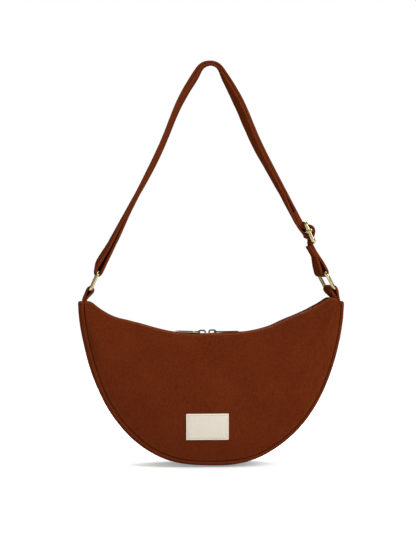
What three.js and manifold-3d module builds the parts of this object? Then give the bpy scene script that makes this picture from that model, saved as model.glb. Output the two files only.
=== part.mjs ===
// A half-moon zip-top shoulder bag in rust-brown canvas, hung by its own folded canvas strap.
// Millimetres, +Z up. The front of the bag faces -Y and +X is to the viewer's right.
// The origin is the underside of the strap, at the bend where a hook or a shoulder carries it.
import * as THREE from "three";
import { mergeVertices } from "three/addons/utils/BufferGeometryUtils.js";
import Module from "manifold-3d";

// Bag body
const BAG_WIDTH = 340; // across the widest part of the gusset
const BAG_HEIGHT = 207; // from the level of the two tips down to the bottom
const BAG_DEPTH = 72; // gusset width at the bottom, between its two seams
const BAG_SHIFT = 2.6; // middle of the bag, to the right of the hang point
const STRAP_DROP = 307; // hang point down to the level of the tips
const CANVAS = 1.2; // thickness of the bag's cloth
const FIT = 0.3; // clearance between pieces that touch
const SEAM_FIT = 0.7; // clearance between a panel and the edge of the gusset
const SIDE_POWER = 2.65; // the outline is |x / half width| ^ SIDE_POWER + (drop / height) ^ DROP_POWER = 1
const DROP_POWER = 1.6;
const SIDE_BULGE = 6.5; // how far the gusset stands past its seams at the tips
const BOTTOM_BULGE = 4; // and at the bottom
const TIP_MARGIN = 7; // gusset past each edge of the ring tab, at the tips
const DEPTH_POWER = 0.8; // how soon the gusset widens below the tips
const FRONT_SWELL = 6; // how far the front panel bellies out
const REAR_SWELL = 4; // and the rear panel, which lies against the wearer
const BINDING_WIDTH = 7; // bound seam allowance inside the bag
const BINDING_INSET = 3.2; // between the seam and the binding's edge
const BINDING_THICK = 1.6;
const BINDING_END = 0.12; // where the binding starts and stops, as a share of the seam's turn

// Mouth and zip
const MOUTH_MARGIN = 2; // top edge of a panel past the edge of the ring tab between them
const MOUTH_OFFSET = -12; // lowest point of the arc, from the middle of the bag
const MOUTH_DROP = 39.5; // lowest point of the arc, below the tips
const ZIP_END_DROP = 1.8; // right end of the arc, below the tips
const MOUTH_TIP_INSET = 8; // end of the panel's top edge, in from the outermost point
const ZIP_INSET_LEFT = 33; // end of the zip, in from the outermost point
const ZIP_INSET_RIGHT = 39;
const TIP_RISE_LEFT = 4; // top edge at the tips, above the level of the tips
const TIP_RISE_RIGHT = 7;
const ZIP_SINK = 2; // middle of the zip below the panels' top edges
const COIL_GAP = 1.6; // slot between the two rows of coil
const COIL_WIDTH = 2.4;
const COIL_HEIGHT = 2.4;
const TAPE_THICK = 0.6;
const STOP_LENGTH = 3;
const COVER_ROOM = 1; // between a zip end cover and the ring tab beside it

// Zip sliders and pulls
const SLIDER_MEET = -5.2; // where the two sliders meet, from the middle of the bag
const SLIDER_SPACE = 1.5; // between the two sliders
const SLIDER_LENGTH = 11.5;
const SLIDER_NOSE = 6; // width of the end where the tapes part
const SHOULDER_LENGTH = 2.6; // from the nose to the widest point
const SHOULDER_WIDTH = 0.8; // shoulders past the flanges, each side
const PLATE_THICK = 1.1;
const POST_WIDTH = 0.9; // wedge between the two rows of coil
const POST_LENGTH = 2.4;
const FLANGE_THICK = 0.6;
const FLANGE_FIT = 0.4; // between the coil and the slider's flange
const BRIDGE_LENGTH = 9.4; // the arch that the pull hangs on
const BRIDGE_HEIGHT = 5;
const BRIDGE_WALL = 1.3;
const BRIDGE_WIDTH = 2.6;
const PULL_LENGTH = 31; // from its hinge bar to its far end
const PULL_WIDTH = 5.6;
const PULL_THICK = 1.6;
const PULL_BAR = 1.6; // the bar that passes under the bridge
const PULL_HEIGHT = 2; // hinge above the feet of the bridge
const EYE_LENGTH = 4.6; // window beside the hinge bar
const EYE_FIT = 0.5; // window past the bridge, each side
const LEG_FIT = 0.6; // between the hinge bar and the leg of the bridge
const SLOT_WIDTH = 2.4; // long window in the pull
const SLOT_START = 9;
const SLOT_END = 28;

// Rings and the tabs that hold them to the bag
const STRAP_WIDTH = 30;
const STRAP_THICK = 2.2; // canvas folded to four layers
const RING_WIRE = 4;
const RING_SIDE_FIT = 1.75; // ring past each edge of the strap
const RING_PITCH = 24; // between the middles of the ring's two bars
const RING_CORNER = 4; // bend of the wire's middle line
const RING_LEAN_LEFT = 23.8; // degrees from upright
const RING_LEAN_RIGHT = 28.4;
const RING_TURN_RIGHT = 17; // the right ring is turned to show its face
const TURN_RUN = 8; // length of the bag's tab over which that turn dies out
const TURN_SPREAD = 3; // it dies out this many times slower up the strap
const TAB_INSET = 7.5; // middle of the tab, in from the outermost point
const TAB_REACH = 18.2; // from the tip to the ring's lower bar
const TAB_LEAN = 24.5;
const TAB_ROOT = 9; // tab sewn in below the level of the tips
const TAB_UPRIGHT = 8; // tab standing straight above the level of the tips
const TAB_SLACK = 0.4; // room round the wire in the tab

// Strap and its adjuster
const HANG_RADIUS = 16; // underside of the strap at the hang point
const LAYER_GAP = 0.5; // between the two layers of the strap
const LOOP_SLACK_LEFT = 1.4; // room round the wire in the strap's loops
const LOOP_SLACK_RIGHT = 1.2;
const ADJUSTER_WIRE = 3.5;
const ADJUSTER_PITCH = 11.9; // between the middles of neighbouring bars
const ADJUSTER_CORNER = 4;
const ADJUSTER_LEAN = 24.8;
const END_TAB_REACH = 57.9; // from the right ring's upper bar to the adjuster's middle bar
const END_TAB_LEAN = 18.9;
const SEWN_FLAP = 23; // end of the strap folded back above the adjuster
const END_FLAP_DROP = 8; // other end of the strap, below the adjuster's lower bar
const SLACK_LENGTH = 95; // strap above the adjuster that gathers when it is moved up

// Label on the front
const LABEL_WIDTH = 53;
const LABEL_HEIGHT = 34;
const LABEL_THICK = 1;
const LABEL_OFFSET = -8; // middle of the label, from the middle of the bag
const LABEL_RISE = 48.6; // middle of the label, above the bottom of the bag

// How finely round things are cut
const SEAM_STEPS = 40;
const DEPTH_STEPS = 6;
const PANEL_STEPS = 7;
const ZIP_STEPS = 26;
const ARC_STEP = Math.PI / 18;
const WIRE_SIDES = 10;
const CORNER_STEPS = 3;

// Sizes that follow from those above
const HALF_WIDTH = BAG_WIDTH / 2;
const HALF_MOUTH = STRAP_WIDTH / 2 + MOUTH_MARGIN;
const TIP_DEPTH = STRAP_WIDTH + 2 * TIP_MARGIN;
const COIL_OUT = COIL_GAP / 2 + COIL_WIDTH;
const ZIP_LEFT = ZIP_INSET_LEFT - HALF_WIDTH;
const ZIP_RIGHT = HALF_WIDTH - ZIP_INSET_RIGHT;
const MOUTH_RISE = MOUTH_DROP - ZIP_END_DROP;
const MOUTH_RADIUS = ((ZIP_RIGHT - MOUTH_OFFSET) ** 2 + MOUTH_RISE ** 2) / (2 * MOUTH_RISE);
const ZIP_RADIUS = MOUTH_RADIUS + ZIP_SINK;
const MOUTH_CENTRE_Z = MOUTH_RADIUS - MOUTH_DROP;
const RADIANS = Math.PI / 180;

const wasm = await Module();
wasm.setup();

// Cloth and metal colours
const canvas = () => new THREE.MeshStandardMaterial({ color: 0x5f2410, roughness: 0.92, metalness: 0 });
const webbing = () => new THREE.MeshStandardMaterial({ color: 0x6d3019, roughness: 0.9, metalness: 0 });
const binding = () => new THREE.MeshStandardMaterial({ color: 0x4a1c0e, roughness: 0.9, metalness: 0 });
const tape = () => new THREE.MeshStandardMaterial({ color: 0x33201a, roughness: 0.9, metalness: 0 });
const coil = () => new THREE.MeshStandardMaterial({ color: 0x6b6250, roughness: 0.45, metalness: 0.6 });
const bronze = () => new THREE.MeshStandardMaterial({ color: 0x5a503a, roughness: 0.4, metalness: 1 });
const brass = () => new THREE.MeshStandardMaterial({ color: 0xa08c5a, roughness: 0.3, metalness: 1 });
const patch = () => new THREE.MeshStandardMaterial({ color: 0xded6c6, roughness: 0.8, metalness: 0 });

// Turns every face outwards.
function facingOut(geometry) {
  const p = geometry.getAttribute("position");
  const index = geometry.index.array;
  const [a, b, c] = [new THREE.Vector3(), new THREE.Vector3(), new THREE.Vector3()];
  let volume = 0;
  for (let i = 0; i < index.length; i += 3) {
    a.fromBufferAttribute(p, index[i]);
    b.fromBufferAttribute(p, index[i + 1]);
    c.fromBufferAttribute(p, index[i + 2]);
    volume += a.dot(b.cross(c));
  }
  if (volume < 0) {
    for (let i = 0; i < index.length; i += 3) [index[i], index[i + 1]] = [index[i + 1], index[i]];
  }
  return geometry;
}

function solidFrom(positions, index) {
  const geometry = new THREE.BufferGeometry();
  geometry.setAttribute("position", new THREE.Float32BufferAttribute(positions, 3));
  geometry.setIndex(index);
  return facingOut(geometry);
}

// A sheet with thickness: two grids of points, given by functions of (u, v) from 0 to 1, closed at the rim.
function shell(columns, rows, upper, lower) {
  const positions = [];
  for (const surface of [upper, lower]) {
    for (let i = 0; i <= columns; i++) {
      for (let j = 0; j <= rows; j++) positions.push(...surface(i / columns, j / rows));
    }
  }
  const layer = (columns + 1) * (rows + 1);
  const at = (side, i, j) => side * layer + i * (rows + 1) + j;
  const index = [];
  const quad = (a, b, c, d) => index.push(a, b, c, a, c, d);
  for (let i = 0; i < columns; i++) {
    for (let j = 0; j < rows; j++) {
      quad(at(0, i, j), at(0, i + 1, j), at(0, i + 1, j + 1), at(0, i, j + 1));
      quad(at(1, i, j), at(1, i, j + 1), at(1, i + 1, j + 1), at(1, i + 1, j));
    }
    quad(at(0, i, 0), at(1, i, 0), at(1, i + 1, 0), at(0, i + 1, 0));
    quad(at(0, i, rows), at(0, i + 1, rows), at(1, i + 1, rows), at(1, i, rows));
  }
  for (let j = 0; j < rows; j++) {
    quad(at(0, 0, j), at(0, 0, j + 1), at(1, 0, j + 1), at(1, 0, j));
    quad(at(0, columns, j), at(1, columns, j), at(1, columns, j + 1), at(0, columns, j + 1));
  }
  return solidFrom(positions, index);
}

// A closed loop of round wire in the plane x = 0. Its points are (y, z).
function wireLoop(points, wire) {
  const positions = [];
  const index = [];
  const count = points.length;
  points.forEach((point, i) => {
    const before = points[(i + count - 1) % count];
    const after = points[(i + 1) % count];
    const along = after.clone().sub(before).normalize();
    for (let k = 0; k < WIRE_SIDES; k++) {
      const turn = (2 * Math.PI * k) / WIRE_SIDES;
      const out = (wire / 2) * Math.cos(turn);
      positions.push((wire / 2) * Math.sin(turn), point.x + along.y * out, point.y - along.x * out);
      const next = (k + 1) % WIRE_SIDES;
      const row = i * WIRE_SIDES;
      const nextRow = ((i + 1) % count) * WIRE_SIDES;
      index.push(row + k, nextRow + k, nextRow + next, row + k, nextRow + next, row + next);
    }
  });
  return solidFrom(positions, index);
}

// Middle line of a rectangular loop with round corners.
function roundedLoop(halfWidth, low, high, corner) {
  const path = new THREE.Path();
  path.moveTo(-halfWidth + corner, low);
  path.lineTo(halfWidth - corner, low);
  path.absarc(halfWidth - corner, low + corner, corner, -Math.PI / 2, 0, false);
  path.lineTo(halfWidth, high - corner);
  path.absarc(halfWidth - corner, high - corner, corner, 0, Math.PI / 2, false);
  path.lineTo(-halfWidth + corner, high);
  path.absarc(-halfWidth + corner, high - corner, corner, Math.PI / 2, Math.PI, false);
  path.lineTo(-halfWidth, low + corner);
  path.absarc(-halfWidth + corner, low + corner, corner, Math.PI, 1.5 * Math.PI, false);
  const points = path.getPoints(CORNER_STEPS);
  return points.filter((p, i) => p.distanceTo(points[(i + 1) % points.length]) > FIT);
}

// Joins closed geometries into one solid.
function join(...geometries) {
  const solids = geometries.map((geometry) => {
    const bare = new THREE.BufferGeometry();
    bare.setAttribute("position", geometry.getAttribute("position"));
    bare.setIndex(geometry.index);
    const merged = mergeVertices(bare);
    return new wasm.Manifold(
      new wasm.Mesh({
        numProp: 3,
        vertProperties: new Float32Array(merged.getAttribute("position").array),
        triVerts: new Uint32Array(merged.index.array),
      }),
    );
  });
  const mesh = solids.reduce((whole, solid) => whole.add(solid)).getMesh();
  return solidFrom(Array.from(mesh.vertProperties), Array.from(mesh.triVerts));
}

function named(name, geometry, material) {
  const mesh = new THREE.Mesh(geometry, material);
  mesh.name = name;
  return mesh;
}

// Bag body: the seam turns from the right tip (0) round the bottom to the left tip (pi).
// Everything in this section is measured from the middle of the bag, at the level of the tips.
function outline(turn, inset) {
  const across = Math.cos(turn);
  const down = Math.sin(turn);
  return [
    (HALF_WIDTH - inset) * Math.sign(across) * Math.abs(across) ** (2 / SIDE_POWER),
    -(BAG_HEIGHT - inset) * Math.abs(down) ** (2 / DROP_POWER),
  ];
}

function halfDepth(turn) {
  return (TIP_DEPTH + (BAG_DEPTH - TIP_DEPTH) * Math.abs(Math.sin(turn)) ** DEPTH_POWER) / 2;
}

function seamInset(turn) {
  return SIDE_BULGE + (BOTTOM_BULGE - SIDE_BULGE) * Math.sin(turn) ** 2;
}

function mouthArc(x) {
  return MOUTH_CENTRE_Z - Math.sqrt(MOUTH_RADIUS ** 2 - (x - MOUTH_OFFSET) ** 2);
}

// Height of the panels' top edge: the zip's arc, then straight on to each tip.
function mouthLine(x) {
  const tip = HALF_WIDTH - MOUTH_TIP_INSET;
  if (x < ZIP_LEFT) {
    const share = (ZIP_LEFT - x) / (ZIP_LEFT + tip);
    return THREE.MathUtils.lerp(mouthArc(ZIP_LEFT), TIP_RISE_LEFT, share);
  }
  if (x > ZIP_RIGHT) {
    const share = (x - ZIP_RIGHT) / (tip - ZIP_RIGHT);
    return THREE.MathUtils.lerp(mouthArc(ZIP_RIGHT), TIP_RISE_RIGHT, share);
  }
  return mouthArc(x);
}

// Outer surface of a panel: u runs along the seam from right tip to left, v from the top edge to the seam.
// It gives x, the distance out from the middle plane, and z.
function panelPoint(u, v, swell) {
  const turn = Math.PI * u;
  const seam = outline(turn, seamInset(turn));
  const across = Math.cos(turn);
  const topX = (HALF_WIDTH - MOUTH_TIP_INSET) * across * Math.abs(across);
  const topOut = HALF_MOUTH + CANVAS;
  const seamOut = halfDepth(turn) + SEAM_FIT + CANVAS;
  const belly = swell * Math.sin(turn) * 4 * v * (1 - v);
  return [
    THREE.MathUtils.lerp(topX, seam[0], v),
    topOut + (seamOut - topOut) * (1 - (1 - v) ** 2) + belly,
    THREE.MathUtils.lerp(mouthLine(topX), seam[1], v),
  ];
}

function panel(side, swell) {
  const surface = (sunk) => (u, v) => {
    const [x, out, z] = panelPoint(u, v, swell);
    return [x, side * (out - sunk), z];
  };
  return shell(SEAM_STEPS, PANEL_STEPS, surface(0), surface(CANVAS));
}

function gusset() {
  const surface = (sunk) => (u, v) => {
    const turn = Math.PI * u;
    const across = 2 * v - 1;
    const [x, z] = outline(turn, seamInset(turn) * across ** 2 + sunk);
    return [x, across * halfDepth(turn), z];
  };
  return shell(SEAM_STEPS, DEPTH_STEPS, surface(0), surface(CANVAS));
}

// Tape bound over the raw seam allowance, standing inwards along the panel.
function seamBinding(side, swell) {
  const surface = (sunk) => (u, v) => {
    const along = THREE.MathUtils.lerp(BINDING_END, 1 - BINDING_END, u);
    const top = new THREE.Vector3(...panelPoint(along, 0, swell));
    const seam = new THREE.Vector3(...panelPoint(along, 1, swell));
    const height = Math.hypot(top.x - seam.x, top.z - seam.z);
    const inwards = BINDING_INSET + BINDING_WIDTH * v;
    const [x, out, z] = panelPoint(along, 1 - inwards / height, swell);
    return [x, side * (out - CANVAS - FIT - sunk), z];
  };
  return shell(SEAM_STEPS, 1, surface(0), surface(BINDING_THICK));
}

// Where on the front panel the point (x, z) lies, by Newton's method on panelPoint.
function frontOut(x, z) {
  const step = 1e-4;
  const passes = 12;
  let [u, v] = [0.5, 0.5];
  for (let pass = 0; pass < passes; pass++) {
    const here = panelPoint(u, v, FRONT_SWELL);
    const alongU = panelPoint(u + step, v, FRONT_SWELL);
    const alongV = panelPoint(u, v + step, FRONT_SWELL);
    const [xu, zu] = [(alongU[0] - here[0]) / step, (alongU[2] - here[2]) / step];
    const [xv, zv] = [(alongV[0] - here[0]) / step, (alongV[2] - here[2]) / step];
    const scale = xu * zv - xv * zu;
    u += ((x - here[0]) * zv - (z - here[2]) * xv) / scale;
    v += ((z - here[2]) * xu - (x - here[0]) * zu) / scale;
  }
  return panelPoint(u, v, FRONT_SWELL)[1];
}

function label() {
  const columns = 6;
  const rows = 4;
  const surface = (out) => (u, v) => {
    const x = LABEL_OFFSET + LABEL_WIDTH * (u - 0.5);
    const z = LABEL_RISE - BAG_HEIGHT + LABEL_HEIGHT * (v - 0.5);
    return [x, -(frontOut(x, z) + FIT + out), z];
  };
  return shell(columns, rows, surface(LABEL_THICK), surface(0));
}

// Zip: angles are measured at the centre of its arc, from straight down, towards +X.
function zipTurn(x) {
  return Math.asin((x - MOUTH_OFFSET) / ZIP_RADIUS);
}

function zipStrip(from, to, inner, outer, height) {
  const surface = (raise) => (u, v) => {
    const turn = THREE.MathUtils.lerp(from, to, u);
    const radius = ZIP_RADIUS - raise;
    return [
      MOUTH_OFFSET + radius * Math.sin(turn),
      THREE.MathUtils.lerp(inner, outer, v),
      MOUTH_CENTRE_Z - radius * Math.cos(turn),
    ];
  };
  return shell(ZIP_STEPS, 1, surface(height / 2), surface(-height / 2));
}

function zipEndCover(side) {
  const columns = 4;
  const zipEnd = side < 0 ? ZIP_LEFT : ZIP_RIGHT;
  const tilt = Math.abs(Math.sin(zipTurn(zipEnd)));
  const start = zipEnd + side * (FIT + COIL_HEIGHT * tilt);
  const end = side * (HALF_WIDTH - TAB_INSET - FIT / 2 - STRAP_THICK - COVER_ROOM);
  const surface = (sunk) => (u, v) => {
    const x = THREE.MathUtils.lerp(start, end, u);
    return [x, (HALF_MOUTH - FIT) * (2 * v - 1), mouthLine(x) - ZIP_SINK + CANVAS / 2 - sunk];
  };
  return shell(columns, 1, surface(0), surface(CANVAS));
}

// A slider's two plates, its wedge and its flanges, with the chain's middle at the origin and +X towards its tail.
function sliderBody() {
  const inside = COIL_HEIGHT / 2 + FIT;
  const flangeY = COIL_OUT + FLANGE_FIT + FLANGE_THICK / 2;
  const tail = flangeY + FLANGE_THICK / 2;
  const widest = tail + SHOULDER_WIDTH;
  const half = SLIDER_LENGTH / 2;
  const outlineShape = new THREE.Shape();
  outlineShape.moveTo(-half, -SLIDER_NOSE / 2);
  outlineShape.lineTo(-half + SHOULDER_LENGTH, -widest);
  outlineShape.lineTo(half, -tail);
  outlineShape.lineTo(half, tail);
  outlineShape.lineTo(-half + SHOULDER_LENGTH, widest);
  outlineShape.lineTo(-half, SLIDER_NOSE / 2);
  const plate = (z) =>
    new THREE.ExtrudeGeometry(outlineShape, { depth: PLATE_THICK, bevelEnabled: false }).translate(0, 0, z);
  const post = new THREE.BoxGeometry(POST_LENGTH, POST_WIDTH, 2 * inside + PLATE_THICK);
  post.translate(-half + POST_LENGTH / 2, 0, 0);
  const low = TAPE_THICK / 2 + FIT;
  const flangeHeight = inside - low + PLATE_THICK / 2;
  const flangeLength = SLIDER_LENGTH - SHOULDER_LENGTH;
  const flange = (sideY, sideZ) =>
    new THREE.BoxGeometry(flangeLength, FLANGE_THICK, flangeHeight).translate(
      SHOULDER_LENGTH / 2 - FIT,
      sideY * flangeY,
      sideZ * (low + flangeHeight / 2),
    );
  return join(
    plate(inside),
    plate(-inside - PLATE_THICK),
    post,
    flange(1, 1),
    flange(-1, 1),
    flange(1, -1),
    flange(-1, -1),
  );
}

// The arch on a slider, standing on its feet at z = 0.
function sliderBridge() {
  const half = BRIDGE_LENGTH / 2;
  const round = BRIDGE_WALL;
  const arch = new THREE.Shape();
  arch.moveTo(-half, 0);
  arch.lineTo(-half + BRIDGE_WALL, 0);
  arch.lineTo(-half + BRIDGE_WALL, BRIDGE_HEIGHT - BRIDGE_WALL);
  arch.lineTo(half - BRIDGE_WALL, BRIDGE_HEIGHT - BRIDGE_WALL);
  arch.lineTo(half - BRIDGE_WALL, 0);
  arch.lineTo(half, 0);
  arch.lineTo(half, BRIDGE_HEIGHT - round);
  arch.absarc(half - round, BRIDGE_HEIGHT - round, round, 0, Math.PI / 2, false);
  arch.lineTo(-half + round, BRIDGE_HEIGHT);
  arch.absarc(-half + round, BRIDGE_HEIGHT - round, round, Math.PI / 2, Math.PI, false);
  const geometry = new THREE.ExtrudeGeometry(arch, {
    depth: BRIDGE_WIDTH,
    bevelEnabled: false,
    curveSegments: CORNER_STEPS,
  });
  return geometry.rotateX(Math.PI / 2).translate(0, BRIDGE_WIDTH / 2, 0);
}

// A flat pull lying along +X, with the middle of its hinge bar at the origin.
function pull() {
  const half = PULL_WIDTH / 2;
  const flat = new THREE.Shape();
  flat.moveTo(-PULL_BAR / 2, -half);
  flat.lineTo(PULL_LENGTH - half, -half);
  flat.absarc(PULL_LENGTH - half, 0, half, -Math.PI / 2, Math.PI / 2, false);
  flat.lineTo(-PULL_BAR / 2, half);
  const hole = (from, to, width) => {
    const path = new THREE.Path();
    path.moveTo(from, -width / 2);
    path.lineTo(from, width / 2);
    path.lineTo(to, width / 2);
    path.lineTo(to, -width / 2);
    return path;
  };
  flat.holes.push(hole(PULL_BAR / 2, PULL_BAR / 2 + EYE_LENGTH, BRIDGE_WIDTH + 2 * EYE_FIT));
  flat.holes.push(hole(SLOT_START, SLOT_END, SLOT_WIDTH));
  const geometry = new THREE.ExtrudeGeometry(flat, {
    depth: PULL_THICK,
    bevelEnabled: false,
    curveSegments: 2 * CORNER_STEPS,
  });
  return geometry.translate(0, 0, -PULL_THICK / 2);
}

// A slider with its bridge and pull, on a group at the centre of the zip's arc.
function slider(side) {
  const word = side < 0 ? "left" : "right";
  const meet = zipTurn(SLIDER_MEET);
  const turn = meet + (side * (SLIDER_LENGTH + SLIDER_SPACE)) / 2 / ZIP_RADIUS;
  const swing = new THREE.Group();
  swing.name = `pivot_slider_${word}`;
  swing.position.set(MOUTH_OFFSET, 0, MOUTH_CENTRE_Z);
  swing.rotation.y = -turn;
  const seat = new THREE.Group();
  seat.position.z = -ZIP_RADIUS;
  seat.rotation.z = side < 0 ? Math.PI : 0;
  const top = COIL_HEIGHT / 2 + FIT + PLATE_THICK;
  const bridge = named(`slider_${word}_bridge`, sliderBridge(), bronze());
  bridge.position.z = top + FIT;
  const hinge = new THREE.Group();
  hinge.name = `pivot_pull_${word}`;
  const hingeX = BRIDGE_LENGTH / 2 - BRIDGE_WALL - LEG_FIT - PULL_BAR / 2;
  hinge.position.set(hingeX, 0, top + FIT + PULL_HEIGHT);
  hinge.add(named(`pull_${word}`, pull(), bronze()));
  seat.add(named(`slider_${word}_body`, sliderBody(), bronze()), bridge, hinge);
  swing.add(seat);
  return swing;
}

function bag() {
  const group = new THREE.Group();
  group.position.set(BAG_SHIFT, 0, -STRAP_DROP);
  group.add(
    named("front_panel", panel(-1, FRONT_SWELL), canvas()),
    named("rear_panel", panel(1, REAR_SWELL), canvas()),
    named("gusset", gusset(), canvas()),
    named("front_seam_binding", seamBinding(-1, FRONT_SWELL), binding()),
    named("rear_seam_binding", seamBinding(1, REAR_SWELL), binding()),
    named("label", label(), patch()),
  );
  const from = zipTurn(ZIP_LEFT);
  const to = zipTurn(ZIP_RIGHT);
  const stop = STOP_LENGTH / ZIP_RADIUS;
  const gap = FIT / ZIP_RADIUS;
  for (const [word, side] of [
    ["front", -1],
    ["rear", 1],
  ]) {
    const tapeIn = side * (COIL_OUT + FIT);
    const tapeOut = side * (HALF_MOUTH - FIT);
    const coilIn = (side * COIL_GAP) / 2;
    const strip = zipStrip(from, to, tapeIn, tapeOut, TAPE_THICK);
    const row = zipStrip(from + stop + gap, to - stop - gap, coilIn, side * COIL_OUT, COIL_HEIGHT);
    group.add(named(`zip_tape_${word}`, strip, tape()), named(`zip_coil_${word}`, row, coil()));
  }
  for (const [word, side, start] of [
    ["left", -1, from],
    ["right", 1, to - stop],
  ]) {
    const clip = zipStrip(start, start + stop, -COIL_OUT, COIL_OUT, COIL_HEIGHT);
    group.add(
      named(`zip_stop_${word}`, clip, bronze()),
      named(`zip_end_cover_${word}`, zipEndCover(side), canvas()),
      slider(side),
    );
  }
  return group;
}

// Strap, rings and tabs lie in the plane y = 0 and are given as (x, z) from the hang point.
const point = (x, z) => new THREE.Vector2(x, z);
const lean = (degrees) => point(Math.sin(degrees * RADIANS), Math.cos(degrees * RADIANS));
const moved = (start, direction, distance) => start.clone().addScaledVector(direction, distance);

const tipLeft = point(BAG_SHIFT - HALF_WIDTH + TAB_INSET, -STRAP_DROP);
const tipRight = point(BAG_SHIFT + HALF_WIDTH - TAB_INSET, -STRAP_DROP);
const lowerLeft = moved(tipLeft, lean(TAB_LEAN), TAB_REACH);
const lowerRight = moved(tipRight, lean(-TAB_LEAN), TAB_REACH);
const upperLeft = moved(lowerLeft, lean(RING_LEAN_LEFT), RING_PITCH);
const upperRight = moved(lowerRight, lean(-RING_LEAN_RIGHT), RING_PITCH);
const barMiddle = moved(upperRight, lean(-END_TAB_LEAN), END_TAB_REACH);
const barUpper = moved(barMiddle, lean(-ADJUSTER_LEAN), ADJUSTER_PITCH);
const barLower = moved(barMiddle, lean(-ADJUSTER_LEAN), -ADJUSTER_PITCH);

// The twist that turns the right ring and dies out along the cloth above and below it.
const turnAxis = new THREE.Vector3(lean(-RING_LEAN_RIGHT).x, 0, lean(-RING_LEAN_RIGHT).y);
const turnPoint = new THREE.Vector3(lowerRight.x, 0, lowerRight.y);
const loopReach = RING_WIRE / 2 + LOOP_SLACK_RIGHT + STRAP_THICK;

function twisted(geometry) {
  const positions = geometry.getAttribute("position");
  const here = new THREE.Vector3();
  for (let i = 0; i < positions.count; i++) {
    here.fromBufferAttribute(positions, i).sub(turnPoint);
    const height = here.dot(turnAxis);
    const past = Math.max(-loopReach - height, (height - RING_PITCH - loopReach) / TURN_SPREAD, 0);
    const share = 1 - THREE.MathUtils.smoothstep(past, 0, TURN_RUN);
    here.applyAxisAngle(turnAxis, RING_TURN_RIGHT * RADIANS * share).add(turnPoint);
    positions.setXYZ(i, here.x, here.y, here.z);
  }
  return geometry;
}

// A strap's middle line drawn tight round pegs, as a belt is. A peg is { at, radius, turn }: turn is 1 where
// the strap goes round it anticlockwise, seen from the front, and -1 clockwise. A bare end has radius 0.
const peg = (at, radius = 0, turn = 1) => ({ at, radius, turn });

function heading(a, b) {
  const between = b.at.clone().sub(a.at);
  const offset = (b.radius * b.turn - a.radius * a.turn) / between.length();
  return Math.atan2(between.y, between.x) - Math.asin(offset);
}

function onPeg(p, angle) {
  return point(p.at.x + Math.sin(angle) * p.radius * p.turn, p.at.y - Math.cos(angle) * p.radius * p.turn);
}

// The route's points, and the length along it where it reaches and leaves each peg.
function belt(pegs) {
  const angles = pegs.slice(1).map((p, i) => heading(pegs[i], p));
  const points = [];
  const reach = [];
  const leave = [];
  let length = 0;
  const lay = (next) => {
    if (points.length) length += next.distanceTo(points[points.length - 1]);
    points.push(next);
  };
  pegs.forEach((p, i) => {
    const first = angles[Math.max(i - 1, 0)];
    lay(onPeg(p, first));
    reach.push(length);
    if (p.radius > 0) {
      const full = 2 * Math.PI;
      const swept = (((angles[i] - first) * p.turn) % full + full) % full;
      const start = Math.floor((first * p.turn) / ARC_STEP) * ARC_STEP + ARC_STEP / 2;
      for (let a = start; a < first * p.turn + swept - ARC_STEP / 4; a += ARC_STEP) {
        if (a > first * p.turn + ARC_STEP / 4) lay(onPeg(p, a * p.turn));
      }
      lay(onPeg(p, first + swept * p.turn));
    }
    leave.push(length);
  });
  return { points, reach, leave, length };
}

// The points of a route between two lengths along it, no further apart than step.
function stretch(route, from, to, step = Infinity) {
  const found = [];
  let done = 0;
  for (let i = 1; i < route.points.length; i++) {
    const a = route.points[i - 1];
    const span = a.distanceTo(route.points[i]);
    const first = Math.max(from - done, 0);
    const last = Math.min(to - done, span);
    if (last - first > FIT / 10) {
      const count = Math.max(1, Math.ceil((last - first) / step));
      if (!found.length) found.push(a.clone().lerp(route.points[i], first / span));
      for (let k = 1; k <= count; k++) {
        found.push(a.clone().lerp(route.points[i], (first + ((last - first) * k) / count) / span));
      }
    }
    done += span;
  }
  return found;
}

// A flat strap along a middle line, with its width along Y.
function ribbon(points) {
  const normals = points.map((p, i) => {
    const before = p.clone().sub(points[Math.max(i - 1, 0)]).normalize();
    const after = points[Math.min(i + 1, points.length - 1)].clone().sub(p).normalize();
    if (i === 0) before.copy(after);
    if (i === points.length - 1) after.copy(before);
    const along = before.clone().add(after).normalize();
    return point(-along.y, along.x).divideScalar(along.dot(after));
  });
  const columns = points.length - 1;
  const rows = 2;
  const surface = (out) => (u, v) => {
    const i = Math.round(u * columns);
    const at = moved(points[i], normals[i], out);
    return [at.x, STRAP_WIDTH * (v - 0.5), at.y];
  };
  return shell(columns, rows, surface(STRAP_THICK / 2), surface(-STRAP_THICK / 2));
}

function ringTab(side, tip, bar) {
  const away = (STRAP_THICK + FIT) / 2;
  const inner = tip.x - side * away;
  const outer = tip.x + side * away;
  const route = belt([
    peg(point(inner, tip.y - TAB_ROOT)),
    peg(point(inner, tip.y + TAB_UPRIGHT)),
    peg(bar, RING_WIRE / 2 + TAB_SLACK + STRAP_THICK / 2, -side),
    peg(point(outer, tip.y + TAB_UPRIGHT)),
    peg(point(outer, tip.y - TAB_ROOT)),
  ]);
  const step = RING_WIRE;
  return ribbon(stretch(route, 0, route.length, step));
}

// Ring with one bar at the origin and the other a pitch above or below it.
function ring(side) {
  const word = side < 0 ? "left" : "right";
  const halfWidth = STRAP_WIDTH / 2 + RING_SIDE_FIT + RING_WIRE / 2;
  const [low, high] = side < 0 ? [-RING_PITCH, 0] : [0, RING_PITCH];
  const loop = wireLoop(roundedLoop(halfWidth, low, high, RING_CORNER), RING_WIRE);
  const at = side < 0 ? upperLeft : lowerRight;
  const pivot = new THREE.Group();
  pivot.name = `pivot_ring_${word}`;
  pivot.position.set(at.x, 0, at.y);
  pivot.rotation.order = "YZX";
  pivot.rotation.y = (side < 0 ? RING_LEAN_LEFT : -RING_LEAN_RIGHT) * RADIANS;
  pivot.rotation.z = side < 0 ? 0 : RING_TURN_RIGHT * RADIANS;
  pivot.add(named(`ring_${word}`, loop, brass()));
  return pivot;
}

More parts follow.
